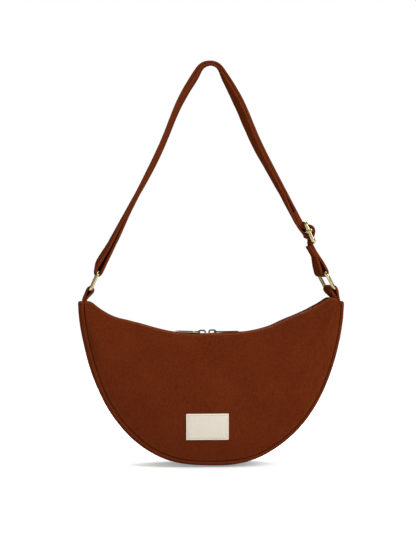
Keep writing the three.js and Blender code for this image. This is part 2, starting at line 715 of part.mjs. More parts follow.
// Adjuster: a frame of wire with a third bar across its middle, for the strap to go over.
function adjuster() {
  const halfWidth = STRAP_WIDTH / 2 + RING_SIDE_FIT + ADJUSTER_WIRE / 2;
  const loop = roundedLoop(halfWidth, -ADJUSTER_PITCH, ADJUSTER_PITCH, ADJUSTER_CORNER);
  const bar = new THREE.CylinderGeometry(ADJUSTER_WIRE / 2, ADJUSTER_WIRE / 2, 2 * halfWidth, WIRE_SIDES);
  const pivot = new THREE.Group();
  pivot.name = "pivot_adjuster";
  pivot.position.set(barMiddle.x, 0, barMiddle.y);
  pivot.rotation.y = -ADJUSTER_LEAN * RADIANS;
  pivot.add(named("adjuster", join(wireLoop(loop, ADJUSTER_WIRE), bar), brass()));
  return pivot;
}

// The strap is one length of folded canvas. From the end sewn round the adjuster's middle bar it goes over
// the hang point, round the left ring, back over the hang point, through the adjuster and round the right ring.
function strap() {
  const hangInner = HANG_RADIUS + STRAP_THICK / 2;
  const hangZ = STRAP_THICK / 2 - hangInner * Math.cos(ARC_STEP / 2);
  const hang = point(0, hangZ);
  const hangOuter = hangInner + STRAP_THICK + LAYER_GAP;
  const onBar = ADJUSTER_WIRE / 2 + FIT + STRAP_THICK / 2;
  const flapRadius = onBar + STRAP_THICK + FIT;
  const innerRadius = flapRadius + STRAP_THICK + LAYER_GAP;
  const loopLeft = RING_WIRE / 2 + LOOP_SLACK_LEFT + STRAP_THICK / 2;
  const loopRight = RING_WIRE / 2 + LOOP_SLACK_RIGHT + STRAP_THICK / 2;
  const runAngle = heading(peg(hang, hangOuter, -1), peg(barUpper, onBar, 1));
  const down = point(Math.cos(runAngle), Math.sin(runAngle));
  const flapTop = moved(onPeg(peg(barUpper, flapRadius, 1), runAngle), down, -SEWN_FLAP);
  const inwards = lean(-ADJUSTER_LEAN).rotateAround(point(0, 0), Math.PI / 2);
  const flapSide = moved(barLower, inwards, onBar + STRAP_THICK + FIT);
  const flapEnd = moved(flapSide, lean(-ADJUSTER_LEAN), -END_FLAP_DROP);
  const route = belt([
    peg(flapTop),
    peg(barUpper, flapRadius, 1),
    peg(barMiddle, onBar, -1),
    peg(barUpper, innerRadius, -1),
    peg(hang, hangInner, 1),
    peg(upperLeft, loopLeft, -1),
    peg(hang, hangOuter, -1),
    peg(barUpper, onBar, 1),
    peg(barMiddle, flapRadius, -1),
    peg(barLower, onBar, 1),
    peg(upperRight, loopRight, -1),
    peg(flapEnd),
  ]);
  const sewn = route.leave[3];
  const over = route.reach[7];
  const tab = route.leave[9];
  const step = RING_WIRE;
  const pieces = [
    ["strap_sewn_end", stretch(route, 0, sewn)],
    ["strap_inner_slack", stretch(route, sewn + FIT, sewn + SLACK_LENGTH)],
    ["strap_main", stretch(route, sewn + SLACK_LENGTH + FIT, over - SLACK_LENGTH)],
    ["strap_outer_slack", stretch(route, over - SLACK_LENGTH + FIT, over)],
    ["strap_over_bar", stretch(route, over + FIT, tab)],
  ];
  const meshes = pieces.map(([name, points]) => named(name, ribbon(points), webbing()));
  const endTab = twisted(ribbon(stretch(route, tab + FIT, route.length, step)));
  return [...meshes, named("strap_end_tab", endTab, webbing())];
}

const model = new THREE.Group();
model.add(
  bag(),
  named("ring_tab_left", ringTab(-1, tipLeft, lowerLeft), canvas()),
  named("ring_tab_right", twisted(ringTab(1, tipRight, lowerRight)), canvas()),
  ring(-1),
  ring(1),
  adjuster(),
  ...strap(),
);

export default model;
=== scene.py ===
import math

import bpy
import numpy as np
from mathutils import Matrix, Vector


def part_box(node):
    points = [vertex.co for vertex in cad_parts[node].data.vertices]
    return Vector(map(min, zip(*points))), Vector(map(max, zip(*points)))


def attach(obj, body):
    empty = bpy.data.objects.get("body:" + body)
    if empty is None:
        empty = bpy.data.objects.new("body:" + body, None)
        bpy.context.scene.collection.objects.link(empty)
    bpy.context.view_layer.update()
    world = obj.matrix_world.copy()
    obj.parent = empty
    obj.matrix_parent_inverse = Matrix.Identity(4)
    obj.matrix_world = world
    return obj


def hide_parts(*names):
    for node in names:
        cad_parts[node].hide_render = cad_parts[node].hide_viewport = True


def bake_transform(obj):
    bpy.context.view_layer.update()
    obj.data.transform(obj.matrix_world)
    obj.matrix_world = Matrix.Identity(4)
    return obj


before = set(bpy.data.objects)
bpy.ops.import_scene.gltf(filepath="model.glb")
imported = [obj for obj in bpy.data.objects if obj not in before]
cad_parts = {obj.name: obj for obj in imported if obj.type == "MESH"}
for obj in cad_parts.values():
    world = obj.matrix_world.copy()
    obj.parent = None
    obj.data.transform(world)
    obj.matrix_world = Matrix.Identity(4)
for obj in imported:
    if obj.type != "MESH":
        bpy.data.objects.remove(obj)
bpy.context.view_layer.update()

# Sizes are in millimetres, as in the CAD source, and become metres when a mesh is made.
MM = 0.001
MERGE = 0.00001
WHITE = (1.0, 1.0, 1.0, 1.0)
FRONT, REAR = -1.0, 1.0

# The bag's own frame: tips of the mouth at height 0, middle of the bag at x 0.
BAG_X, BAG_Z = 2.6, -307.0
HALF_WIDTH, BAG_HEIGHT = 170.0, 207.0
SIDE_POWER, DROP_POWER = 2.65, 1.6
TIP_DEPTH, BAG_DEPTH, DEPTH_POWER = 44.0, 72.0, 0.8
SIDE_BULGE, BOTTOM_BULGE, RIGHT_DRAW = 6.5, 6.6, 2.1
MOUTH_RADIUS, MOUTH_CENTRE, MOUTH_OFFSET = 290.0569, 250.5569, -12.0
ZIP_LEFT, ZIP_RIGHT, MOUTH_TIP = -137.0, 131.0, 162.0
TIP_RISE_LEFT, TIP_RISE_RIGHT = 4.0, 7.0
ZIP_RADIUS = MOUTH_RADIUS + 2.0
ZIP_FOLLOWS = 0.88  # the share of the mouth's settling that the zip takes up
COIL_PITCH, COIL_MARGIN = 1.5, 3.5
HALF_MOUTH, COVER_HALF, COVER_END = 18.2, 16.4, 159.0
CANVAS, COVER_CANVAS, TAPE_THICK, LABEL_THICK = 1.0, 0.9, 0.55, 0.8
SEAM_ROLL, SEAM_GROOVE, SEAM_GAP, GUSSET_ROLL = 1.2, 1.0, 0.2, 1.7
HEM_DEPTH, HEM_ROLL, TIP_FOLD = 9.0, 1.3, 1.5
HEM_STITCH = HEM_DEPTH - 1.5
LABEL_HALF_X, LABEL_HALF_Z, LABEL_X, LABEL_Z = 26.9, 16.6, -8.0, 51.3 - BAG_HEIGHT
LABEL_CORNER, LABEL_STITCH, LABEL_LIFT = 0.8, 2.1, 0.55

# The strap and what it runs round, in the world's XZ plane.
STRAP_HALF, STRAP_FULL = 15.0, 1.5
LEFT_UPPER, LEFT_LOWER = (-142.668, -268.480), (-152.353, -290.439)
RIGHT_UPPER, RIGHT_LOWER = (146.138, -269.327), (157.553, -290.439)
BAR_UPPER, BAR_MIDDLE, BAR_LOWER = (122.392, -203.747), (127.383, -214.549), (134.052, -228.982)
LEFT_TIP, RIGHT_TIP, TIP_LEVEL = -159.9, 165.1, -307.0
LEFT_LEAN, RIGHT_LEAN, ADJUSTER_LEAN = (math.radians(a) for a in (23.8, -28.4, -24.8))
RIGHT_TURN, RIGHT_LIFT = math.radians(9.5), math.radians(5.0)
# from the middle of a bar or wire to the middle of the cloth round it; OVER_WRAP is a second layer
BAR_WRAP, OVER_WRAP, LEFT_WRAP, RIGHT_WRAP, TAB_WRAP = 3.4, 6.8, 4.15, 4.3, 4.0
RING_WIRE, RING_HALF, RING_TALL, RING_CORNER = 4.7, 18.75, 24.0, 4.5
# where each pull hangs on its bridge, how it lies (tilt along the zip and roll, in degrees) and its slack
PULL_REST = {
    "left": ((-11.1044, -343.6019), 2.5, 24.0, (-1.2, -1.5)),
    "right": ((5.6709, -343.2112), 2.0, 1.0, (1.5, -1.0)),
}
BRIDGE_SHIFT = {"left": 0.0, "right": 0.7}


# ---- small helpers

def smooth_step(a, b, x):
    t = np.clip((np.asarray(x, float) - a) / (b - a), 0.0, 1.0)
    return t * t * (3.0 - 2.0 * t)


def bump(x, centre, width):
    return np.exp(-((np.asarray(x, float) - centre) / width) ** 2)


def ripple(x, *waves):
    """A quiet, uneven waviness: the sum of a few sines given as (length, height, shift)."""
    return sum(h * np.sin(2.0 * np.pi * np.asarray(x, float) / length + shift) for length, h, shift in waves)


def graded(*spans):
    """Even steps over each of several spans given as (start, end, count), joined end to end."""
    parts = [np.linspace(*span) for span in spans]
    return np.concatenate([part[:-1] for part in parts[:-1]] + parts[-1:])


def run_along(line):
    """The distance of each point from the start of a line."""
    return np.concatenate([[0.0], np.cumsum(np.linalg.norm(np.diff(line, axis=0), axis=1))])


def unit(directions):
    return directions / np.linalg.norm(directions, axis=-1, keepdims=True)


def grid_of(*layers):
    """Arrays that fit one grid, as the coordinates of its points."""
    return np.stack(np.broadcast_arrays(*layers), -1)


def deselect():
    if bpy.context.mode != "OBJECT":
        bpy.ops.object.mode_set(mode="OBJECT")
    bpy.ops.object.select_all(action="DESELECT")


def make_active(ob):
    deselect()
    ob.select_set(True)
    bpy.context.view_layer.objects.active = ob


def start_shape(add, name, **settings):
    """A new primitive, alone, active and named."""
    deselect()
    add(**settings)
    ob = bpy.context.object
    ob.name = ob.data.name = name
    return ob


def start_edit():
    bpy.ops.object.mode_set(mode="EDIT")
    bpy.ops.mesh.select_all(action="SELECT")


def end_edit():
    bpy.ops.object.mode_set(mode="OBJECT")


def apply_modifier(ob, kind, **settings):
    make_active(ob)
    modifier = ob.modifiers.new(kind.lower(), kind)
    for key, value in settings.items():
        setattr(modifier, key, value)
    bpy.ops.object.modifier_apply(modifier=modifier.name)


def thicken(ob, thick, even=False):
    apply_modifier(ob, "SOLIDIFY", thickness=thick * MM, offset=-1.0, use_even_offset=even)
    return ob


def put_on(ob, finish, body, slot, *nodes):
    ob.data.materials.clear()
    ob.data.materials.append(finish)
    if body:
        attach(ob, body)
    if nodes:
        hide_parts(*nodes)
    return ob


def new_object(name, data):
    ob = bpy.data.objects.new(name, data)
    bpy.context.scene.collection.objects.link(ob)
    return ob


def mesh_object(name, points, faces):
    """A smooth object from points in mm."""
    mesh = bpy.data.meshes.new(name)
    mesh.from_pydata((points.reshape(-1, 3) * MM).tolist(), [], faces)
    mesh.polygons.foreach_set("use_smooth", [True] * len(mesh.polygons))
    return new_object(name, mesh)


def copies(name, points, faces):
    """One object of many copies of a small shape. points has a row for each copy, faces are those of one."""
    count, size = points.shape[:2]
    return mesh_object(name, points, [[i + size * n for i in face] for n in range(count) for face in faces])


def woven(name, points, weave, tube=False, flip=False, wear=None):
    """Cloth from rows of points in mm, weave being where each lies laid flat. A tube is closed at its ends."""
    rows, cols = points.shape[:2]
    r, c = np.arange(rows - 1)[:, None], np.arange(cols if tube else cols - 1)[None, :]

    def quads(width, wrap):
        a, b = r * width + c, r * width + ((c + 1) % width if wrap else c + 1)
        corners = np.stack([a, b, b + width, a + width], -1).reshape(-1, 4)
        return corners[:, ::-1] if flip else corners

    faces = quads(cols, tube).tolist()
    flat = weave.reshape(-1, 2)[quads(weave.shape[1], False).reshape(-1)] * MM
    if tube:
        first, last = list(range(cols)), list(range((rows - 1) * cols, rows * cols))
        faces += [first, last[::-1]] if flip else [first[::-1], last]
        flat = np.concatenate([flat, np.repeat(flat[:1], 2 * cols, 0)])
    ob = mesh_object(name, points, faces)
    ob.data.uv_layers.new(name="weave").data.foreach_set("uv", flat.astype(np.float32).ravel())
    if wear is not None:
        layer = ob.data.attributes.new("wear", "FLOAT", "POINT")
        layer.data.foreach_set("value", wear.reshape(-1).astype(np.float32))
    ob.data.update()
    return ob


def stitch_row(spots, pitch, length, radius):
    """Stitches along a line of points: the middle, direction, length and radius of each."""
    along = run_along(spots)
    at = np.arange(pitch * 0.5, along[-1] - pitch * 0.4, pitch)

    def where(s):
        return np.stack([np.interp(s, along, spots[:, k]) for k in range(3)], -1)

    way = unit(where(at + length / 2) - where(at - length / 2))
    return np.hstack([where(at), way, np.broadcast_to((length, radius), (len(at), 2))])


def stitching(name, rows):
    """All the stitches of one piece as short rounded threads."""
    middle, way, length, radius = np.split(np.concatenate(rows)[:, None, :], (3, 6, 7), -1)
    aside = unit(np.cross(way, np.where(np.abs(way[..., 1:2]) < 0.8, (0.0, 1.0, 0.0), (1.0, 0.0, 0.0))))
    above = np.cross(way, aside)
    sides = 6
    counts = (1, sides, sides, sides, 1)
    along = np.repeat((-0.5, -0.36, 0.0, 0.36, 0.5), counts)[:, None]
    full = np.repeat((0.0, 0.8, 1.0, 0.8, 0.0), counts)[:, None]
    turn = np.concatenate([[0.0], np.tile(np.arange(sides) * 2.0 * np.pi / sides, 3), [0.0]])[:, None]
    points = middle + way * along * length + radius * full * (np.cos(turn) * aside + np.sin(turn) * above)
    low, mid, top = 1, 1 + sides, 1 + 2 * sides
    faces = []
    for k in range(sides):
        n = (k + 1) % sides
        faces += [(0, low + n, low + k), (top + k, top + n, top + sides)]
        faces += [(a + k, a + n, b + n, b + k) for a, b in ((low, mid), (mid, top))]
    return copies(name, points, faces)


# ---- finishes

class Nodes:
    """Shorthand for building the node tree of a material or a world."""

    def __init__(self, owner):
        owner.use_nodes = True
        self.tree = owner.node_tree

    def feed(self, socket, value):
        """Gives a socket a value, or a link where the value is another node's output."""
        if isinstance(value, bpy.types.NodeSocket):
            self.tree.links.new(value, socket)
        else:
            socket.default_value = value

    def node(self, kind, values=(), **settings):
        node = self.tree.nodes.new("ShaderNode" + kind)
        for key, value in settings.items():
            setattr(node, key, value)
        for key, value in dict(values).items():
            self.feed(node.inputs[key], value)
        return node

    def place(self, kind="Object"):
        return self.node("TexCoord").outputs[kind]

    def stretch(self, where, scale):
        return self.node("Mapping", {"Vector": where, "Scale": scale}).outputs["Vector"]

    def noise(self, where, scale, detail=3.0, rough=0.55):
        values = {"Vector": where, "Scale": scale, "Detail": detail, "Roughness": rough}
        return self.node("TexNoise", values).outputs["Fac"]

    def ramp(self, value, start, end, low, high, shape="LINEAR"):
        values = {"Value": value, "From Min": start, "From Max": end, "To Min": low, "To Max": high}
        return self.node("MapRange", values, interpolation_type=shape).outputs["Result"]

    def spread(self, noise, low, high):
        """Noise keeps near its middle, so that part of it is drawn out from low to high."""
        return self.ramp(noise, 0.28, 0.72, low, high)

    def maths(self, operation, first, *others):
        for other in others:
            first = self.node("Math", {0: first, 1: other}, operation=operation).outputs["Value"]
        return first

    def blend(self, first, first_share, second, second_share):
        shares = ((first, first_share), (second, second_share))
        return self.maths("ADD", *(self.maths("MULTIPLY", value, share) for value, share in shares))

    def mix(self, factor, first, second):
        return self.node("Mix", {"Factor": factor, 6: first, 7: second}, data_type="RGBA").outputs[2]


class Finish(Nodes):
    """A material under construction."""

    def __init__(self, name, **sockets):
        self.material = bpy.data.materials.new(name)
        super().__init__(self.material)
        self.shader = self.tree.nodes["Principled BSDF"]
        self.set(**sockets)

    def set(self, **sockets):
        """Feeds the shader's own sockets and gives back the material."""
        for key, value in sockets.items():
            self.feed(self.shader.inputs[key.replace("_", " ")], value)
        return self.material

    def raised(self, height, distance, strength):
        values = {"Height": height, "Distance": distance, "Strength": strength}
        return self.node("Bump", values).outputs["Normal"]


def srgb(*colour):
    return (*(((c / 255 + 0.055) / 1.055) ** 2.4 if c > 10 else c / 255 / 12.92 for c in colour), 1.0)


def plain_weave(f, thread):
    """Over-and-under threads on the piece's own weave map: 1 on top of a thread, 0 between."""
    flat = f.place("UV")
    one_band = 0.31416
    values = {"Vector": flat, "Scale": one_band / thread, "Distortion": 0.6, "Detail": 1.0, "Detail Scale": 0.6}
    warp, weft = (f.node("TexWave", values, bands_direction=way).outputs["Fac"] for way in ("X", "Y"))
    values = {"Vector": flat, "Scale": 1.0 / thread, "Color1": WHITE, "Color2": (0.0, 0.0, 0.0, 1.0)}
    over = f.node("TexChecker", values).outputs["Fac"]
    return f.node("Mix", {"Factor": over, 2: warp, 3: weft}, data_type="FLOAT").outputs[0]


def canvas_finish(name, deep, middle, worn, thread=0.00062, mottle=1.0, raised=0.00016, grain=1.0):
    """Washed canvas: woven threads, slubs, uneven dye, paler where folded edges rub."""
    f = Finish(name, Roughness=1.0, Sheen_Weight=0.03, Sheen_Roughness=0.5, Specular_IOR_Level=0.0)
    f.set(Sheen_Tint=srgb(205, 140, 105))
    weave = plain_weave(f, thread)
    place = f.place()
    cloud = f.noise(place, 26.0, 4.0)
    fleck = f.noise(place, 420.0, 2.0)
    slub = f.noise(f.stretch(place, (1.0, 1.0, 0.16)), 900.0, 2.0)
    shares = ((cloud, 0.09 * mottle), (fleck, 0.16 * grain), (slub, 0.14 * grain))
    uneven = [f.spread(noise, -share, share) for noise, share in shares]
    dye = f.maths("ADD", *uneven, f.maths("MULTIPLY", weave, 0.34 * grain), 0.50 - 0.17 * grain)
    rubbed = f.node("Attribute", attribute_name="wear").outputs["Fac"]
    wear = f.maths("MULTIPLY", rubbed, f.spread(fleck, 0.35, 1.0))
    f.set(Normal=f.raised(f.blend(weave, 0.8, slub, 0.5), raised, 0.8))
    return f.set(Base_Color=f.mix(wear, f.mix(dye, deep, middle), worn))


def thread_finish(name, deep, pale):
    """Twisted sewing thread, a little shinier than the cloth."""
    f = Finish(name, Roughness=0.8, Sheen_Weight=0.02, Specular_IOR_Level=0.04)
    place = f.place()
    values = {"Vector": place, "Scale": 620.0, "Distortion": 1.5}
    ply = f.node("TexWave", values, bands_direction="DIAGONAL").outputs["Fac"]
    tone = f.maths("ADD", f.maths("MULTIPLY", ply, 0.5), f.spread(f.noise(place, 140.0), -0.1, 0.5))
    return f.set(Base_Color=f.mix(tone, deep, pale), Normal=f.raised(ply, 0.00012, 0.6))


def metal_finish(name, tarnish, bright, smoothest, roughest, scratch, rear_painted_shade=1.0):
    """Plated metal that has dulled: cloudy tarnish, fine scratches, and painted shade that darkens the rear side
    towards tarnish.
    """
    f = Finish(name, Metallic=1.0)
    place = f.place()
    cloud = f.noise(place, 170.0, 5.0, 0.62)
    speck = f.noise(place, 1500.0, 2.0)
    line = f.noise(f.stretch(place, (1.0, 0.08, 1.0)), 3600.0, 2.0)
    polish_and_rear_shade = f.maths("ADD", f.spread(cloud, 0.40, 0.95), f.spread(speck, -0.08, 0.05))
    # painted shade: towards the rear (larger Y) the colour goes over to tarnish, standing in for the shade on the
    # rear wires
    back = f.node("SeparateXYZ", {"Vector": place}).outputs["Y"]
    polish_and_rear_shade = f.maths("MULTIPLY", polish_and_rear_shade, f.ramp(back, 0.004, 0.018, 1.0, rear_painted_shade))
    return f.set(
        Base_Color=f.mix(polish_and_rear_shade, tarnish, bright),
        Roughness=f.spread(f.blend(cloud, 0.6, line, 0.4), roughest, smoothest),
        Normal=f.raised(f.blend(cloud, 0.7, line, 0.3), 0.00006, scratch),
    )


def coil_finish(name, deep, pale):
    """Moulded nylon with a slight shine."""
    f = Finish(name, Roughness=0.38, Specular_IOR_Level=0.45)
    place = f.place()
    tone = f.spread(f.noise(place, 300.0), 0.1, 0.9)
    return f.set(Base_Color=f.mix(tone, deep, pale), Normal=f.raised(f.noise(place, 1800.0, 2.0), 0.00005, 0.5))


def paper_finish(name):
    """White paper that glows softly to the camera and in reflections; the glow is lowered in an ellipse under the
    bag, a painted shadow added to the shadow the bag casts.
    """
    f = Finish(name, Roughness=0.9, Specular_IOR_Level=0.1, Emission_Color=WHITE)
    place = f.place()
    away = f.node("VectorMath", {0: f.stretch(place, (1.3, 0.9, 0.0))}, operation="LENGTH")
    # painted shadow: the glow is weakest in an ellipse round the bag's foot and rises to full away from it
    glow_with_painted_shadow = f.maths("ADD", f.ramp(away.outputs["Value"], 0.04, 0.22, 0.0, 0.7, "SMOOTHSTEP"), 0.33)
    rays = f.node("LightPath").outputs
    shown = f.maths("MAXIMUM", rays["Is Camera Ray"], rays["Is Glossy Ray"])
    tone = f.mix(f.noise(place, 60.0), (0.86, 0.86, 0.86, 1.0), (0.90, 0.90, 0.90, 1.0))
    return f.set(Base_Color=tone, Emission_Strength=f.maths("MULTIPLY", shown, glow_with_painted_shadow))


PANEL_CANVAS = canvas_finish("rust canvas", srgb(78, 27, 10), srgb(111, 49, 22), srgb(134, 72, 43))
STRAP_CANVAS = canvas_finish("rust strap canvas", srgb(75, 25, 8), srgb(106, 46, 19), srgb(124, 62, 34),
                             thread=0.0007, mottle=0.7, raised=0.00007, grain=0.55)
TAPE_CLOTH = canvas_finish("dark zip tape", srgb(44, 26, 14), srgb(72, 46, 28), srgb(90, 64, 44),
                           thread=0.0005, raised=0.0001)
BINDING_CLOTH = canvas_finish("seam tape", srgb(58, 26, 12), srgb(92, 46, 24), srgb(110, 66, 42), thread=0.0005)
LABEL_CLOTH = canvas_finish("cream label", srgb(208, 198, 182), srgb(232, 224, 211), srgb(243, 234, 214),
                            thread=0.00045, mottle=0.25, raised=0.00006, grain=0.5)
RUST_THREAD = thread_finish("rust thread", srgb(78, 28, 9), srgb(108, 48, 21))
CREAM_THREAD = thread_finish("cream thread", srgb(176, 160, 138), srgb(214, 202, 184))
# the brass is darkened at its rear by painted shade
BRASS = metal_finish("antique brass", srgb(88, 77, 50), srgb(180, 165, 124),
                     smoothest=0.17, roughest=0.28, scratch=0.02, rear_painted_shade=0.15)
BRONZE = metal_finish("dark bronze", srgb(40, 31, 18), srgb(96, 83, 56),
                      smoothest=0.26, roughest=0.46, scratch=0.05)
COIL = coil_finish("dark nylon coil", srgb(38, 26, 16), srgb(66, 48, 32))


# ---- the bag's cloth

def turns(count):
    """Places round the outline from the right tip to the left, closer together round the bottom."""
    t = np.linspace(0.0, 1.0, count)
    return np.pi * (t + 0.055 * np.sin(2.0 * np.pi * t))


def outline(turn, inset):
    """The bag's edge seen from the front, drawn in by inset."""
    c, s = np.cos(turn), np.sin(turn)
    x = (HALF_WIDTH - inset) * np.sign(c) * np.abs(c) ** (2.0 / SIDE_POWER)
    z = -(BAG_HEIGHT - inset) * np.abs(s) ** (2.0 / DROP_POWER)
    # the soft bag sits a little fuller at the left side and is drawn up at the lower right
    x = x - 1.8 * bump(z, -122.0, 36.0) * smooth_step(-40.0, -110.0, x)
    z = z + 3.2 * bump(x, 92.0, 38.0) * smooth_step(-90.0, -140.0, z)
    return x, z


def half_depth(turn):
    return (TIP_DEPTH + (BAG_DEPTH - TIP_DEPTH) * np.abs(np.sin(turn)) ** DEPTH_POWER) / 2.0


def right_side(turn):
    return smooth_step(0.1, 0.75, np.cos(turn))


def seam_inset(turn):
    """How far the seam lies inside the gusset's belly: less on the right, where the panel is drawn out."""
    return SIDE_BULGE + (BOTTOM_BULGE - SIDE_BULGE) * np.sin(turn) ** 2 - RIGHT_DRAW * right_side(turn)


# How far the soft mouth edge has settled from the zip's even curve, by place along the mouth.
SETTLE_X = (
    -162, -157, -153, -149, -145, -138, -130, -122, -115, -107, -99, -91, -84, -76, -68, -60, -50, -25, 0,
    20, 36, 45, 60, 76, 84, 91, 99, 107, 115, 122, 130, 138, 145, 150, 154, 158, 162,
)
SETTLE_Z = (
    -1.2, 1.5, 3.0, 1.8, 0.9, 0.6, -0.4, -0.4, 0.4, 1.6, 2.1, 2.5, 2.4, 1.9, 1.4, 0.9, 0.3, 0.0, 0.0,
    -0.7, -1.9, -2.8, -3.5, -3.7, -2.9, -2.0, -1.6, -2.1, -2.4, -2.8, -3.6, -2.0, 0.2, 2.4, 3.2, 0.6, -3.2,
)


def settled(x):
    near = (-3.0, -1.0, 1.0, 3.0)
    return sum(np.interp(np.asarray(x, float) + d, SETTLE_X, SETTLE_Z) for d in near) / len(near)


def mouth_line(x):
    """Height of the mouth's edge: the zip's arc, then a short rise to each tip."""

    def arc(at):
        return MOUTH_CENTRE - np.sqrt(MOUTH_RADIUS ** 2 - (at - MOUTH_OFFSET) ** 2)

    low_left, low_right = arc(ZIP_LEFT), arc(ZIP_RIGHT)
    left = low_left + (TIP_RISE_LEFT - low_left) * (ZIP_LEFT - x) / (MOUTH_TIP + ZIP_LEFT)
    right = low_right + (TIP_RISE_RIGHT - low_right) * (x - ZIP_RIGHT) / (MOUTH_TIP - ZIP_RIGHT)
    middle = arc(np.clip(x, ZIP_LEFT, ZIP_RIGHT))
    return np.where(x < ZIP_LEFT, left, np.where(x > ZIP_RIGHT, right, middle)) + settled(x)


def to_world(x, y, z):
    return grid_of(x + BAG_X, y, z + BAG_Z)


def roll_over(radius, *straight):
    """An edge rolled through half a turn and then laid straight: how far in and how far up each row is."""
    bend, on = np.linspace(0.0, np.pi, 9)[1:], np.zeros(len(straight))
    inward = radius * np.append(1.0 - np.cos(bend), on + 2.0)
    upward = radius * np.append(np.sin(bend), on) - np.append(np.zeros(len(bend)), straight)
    return inward, upward


def bag_panel(name, side, swell):
    """One half-moon face, at the FRONT or the REAR. Returns the cloth, its hem line and its surface."""
    turn = turns(281)[None, :]
    v = graded((0.0, 0.11, 20), (0.11, 0.93, 58), (0.93, 1.0, 17))[:, None]
    seam_x, seam_z = outline(turn, seam_inset(turn) + SEAM_GROOVE - SEAM_GAP)
    top_x = MOUTH_TIP * np.cos(turn) * np.abs(np.cos(turn))
    top_z = mouth_line(top_x) - HEM_ROLL
    if side == FRONT:
        top_z = top_z + 0.9 * bump(top_x, -3.0, 14.0)
    else:
        top_z = top_z - 0.6 * smooth_step(20.0, 60.0, top_x) * smooth_step(140.0, 120.0, top_x)
    length = np.hypot(seam_x - top_x, seam_z - top_z)
    x, z = top_x + (seam_x - top_x) * v, top_z + (seam_z - top_z) * v
    down, up = v * length, (1.0 - v) * length
    out = HALF_MOUTH + (half_depth(turn) + SEAM_ROLL - HALF_MOUTH) * (1.0 - (1.0 - v) ** 2)
    out += swell * np.sin(turn) * 4.0 * v * (1.0 - v)
    roomy = smooth_step(16.0, 60.0, length)
    # the doubled hem, its sunk stitch line and the slight puckers it draws
    out += 0.30 * (1.0 - smooth_step(HEM_DEPTH - 0.7, HEM_DEPTH + 0.7, down)) * roomy
    out -= 0.30 * bump(down, HEM_STITCH, 0.9) * roomy
    puckers = ripple(x, (13.7, 0.08, 0.4), (21.3, 0.12, 1.9 * side), (7.9, 0.04, 2.2))
    out += bump(down, 5.0, 7.0) * roomy * puckers
    # soft hand: wide shallow hollows, drag lines from the tips, a fuller lower half
    hollows = ripple(x + 0.6 * z, (118.0, 0.8, 0.6 + side), (71.0, 0.5, 2.1))
    hollows = hollows + ripple(x - 0.9 * z, (93.0, 0.6, 1.3 - side), (47.0, 0.22, 0.2))
    out += np.sin(np.pi * v) * roomy * hollows + 1.6 * np.sin(np.pi * v ** 1.6) * np.sin(turn) ** 2
    for tip in (-1.0, 1.0):
        from_tip = tip * 158.0 - x
        fan = np.arctan2(-z, tip * from_tip)
        drag = np.sin(fan * 11.0 + tip) * bump(np.hypot(from_tip, z), 52.0, 34.0)
        out += 0.75 * drag * np.sin(np.pi * v) * roomy
    # gathers along the outer seam, then the edge turns in
    gathers = ripple(turn * HALF_WIDTH, (11.3, 0.07, 0.3), (17.9, 0.10, side), (29.0, 0.14, 1.1))
    out += bump(up, 5.0, 5.0) * roomy * gathers
    near = np.clip(SEAM_ROLL - up, 0.0, SEAM_ROLL)
    out -= (SEAM_ROLL - np.sqrt(SEAM_ROLL ** 2 - near ** 2))
    turned = np.array([[1.6], [4.2]])
    # the hem rolled over the mouth's edge and down to the zip tape
    inward, upward = (rows[::-1, None] for rows in roll_over(HEM_ROLL, 1.2, 2.4))
    n = len(inward)
    rows_x = np.concatenate([np.repeat(x[:1], n, 0), x, np.repeat(x[-1:], len(turned), 0)])
    rows_out = np.concatenate([out[0] - inward, out, out[-1] - SEAM_ROLL * 0.2 - turned])
    rows_z = np.concatenate([z[0] + upward, z, z[-1] + 0.25 * turned])
    flat_z = np.concatenate([z[0] + (2.0 * HEM_ROLL + inward - upward) * 0.6, z, z[-1] - turned])
    wear = np.zeros(rows_x.shape)
    wear[n - 6:n + 1] = 0.55
    wear[n:n + len(v)] += 0.30 * bump(down, 0.0, 1.2) + 0.12 * bump(up, 1.6, 1.2)
    wear[n:n + len(v)] += 0.04 * bump(down, HEM_DEPTH, 0.8) * roomy
    points = to_world(rows_x, side * rows_out, rows_z)
    cloth = woven(name, points, grid_of(rows_x, flat_z), flip=side == REAR, wear=wear)
    surface = to_world(x, side * out, z)
    hem = [
        [np.interp(HEM_STITCH / length[0, column], v[:, 0], surface[:, column, k]) for k in range(3)]
        for column in np.flatnonzero(length[0] > 30.0)
    ]
    return thicken(cloth, CANVAS), np.array(hem), surface


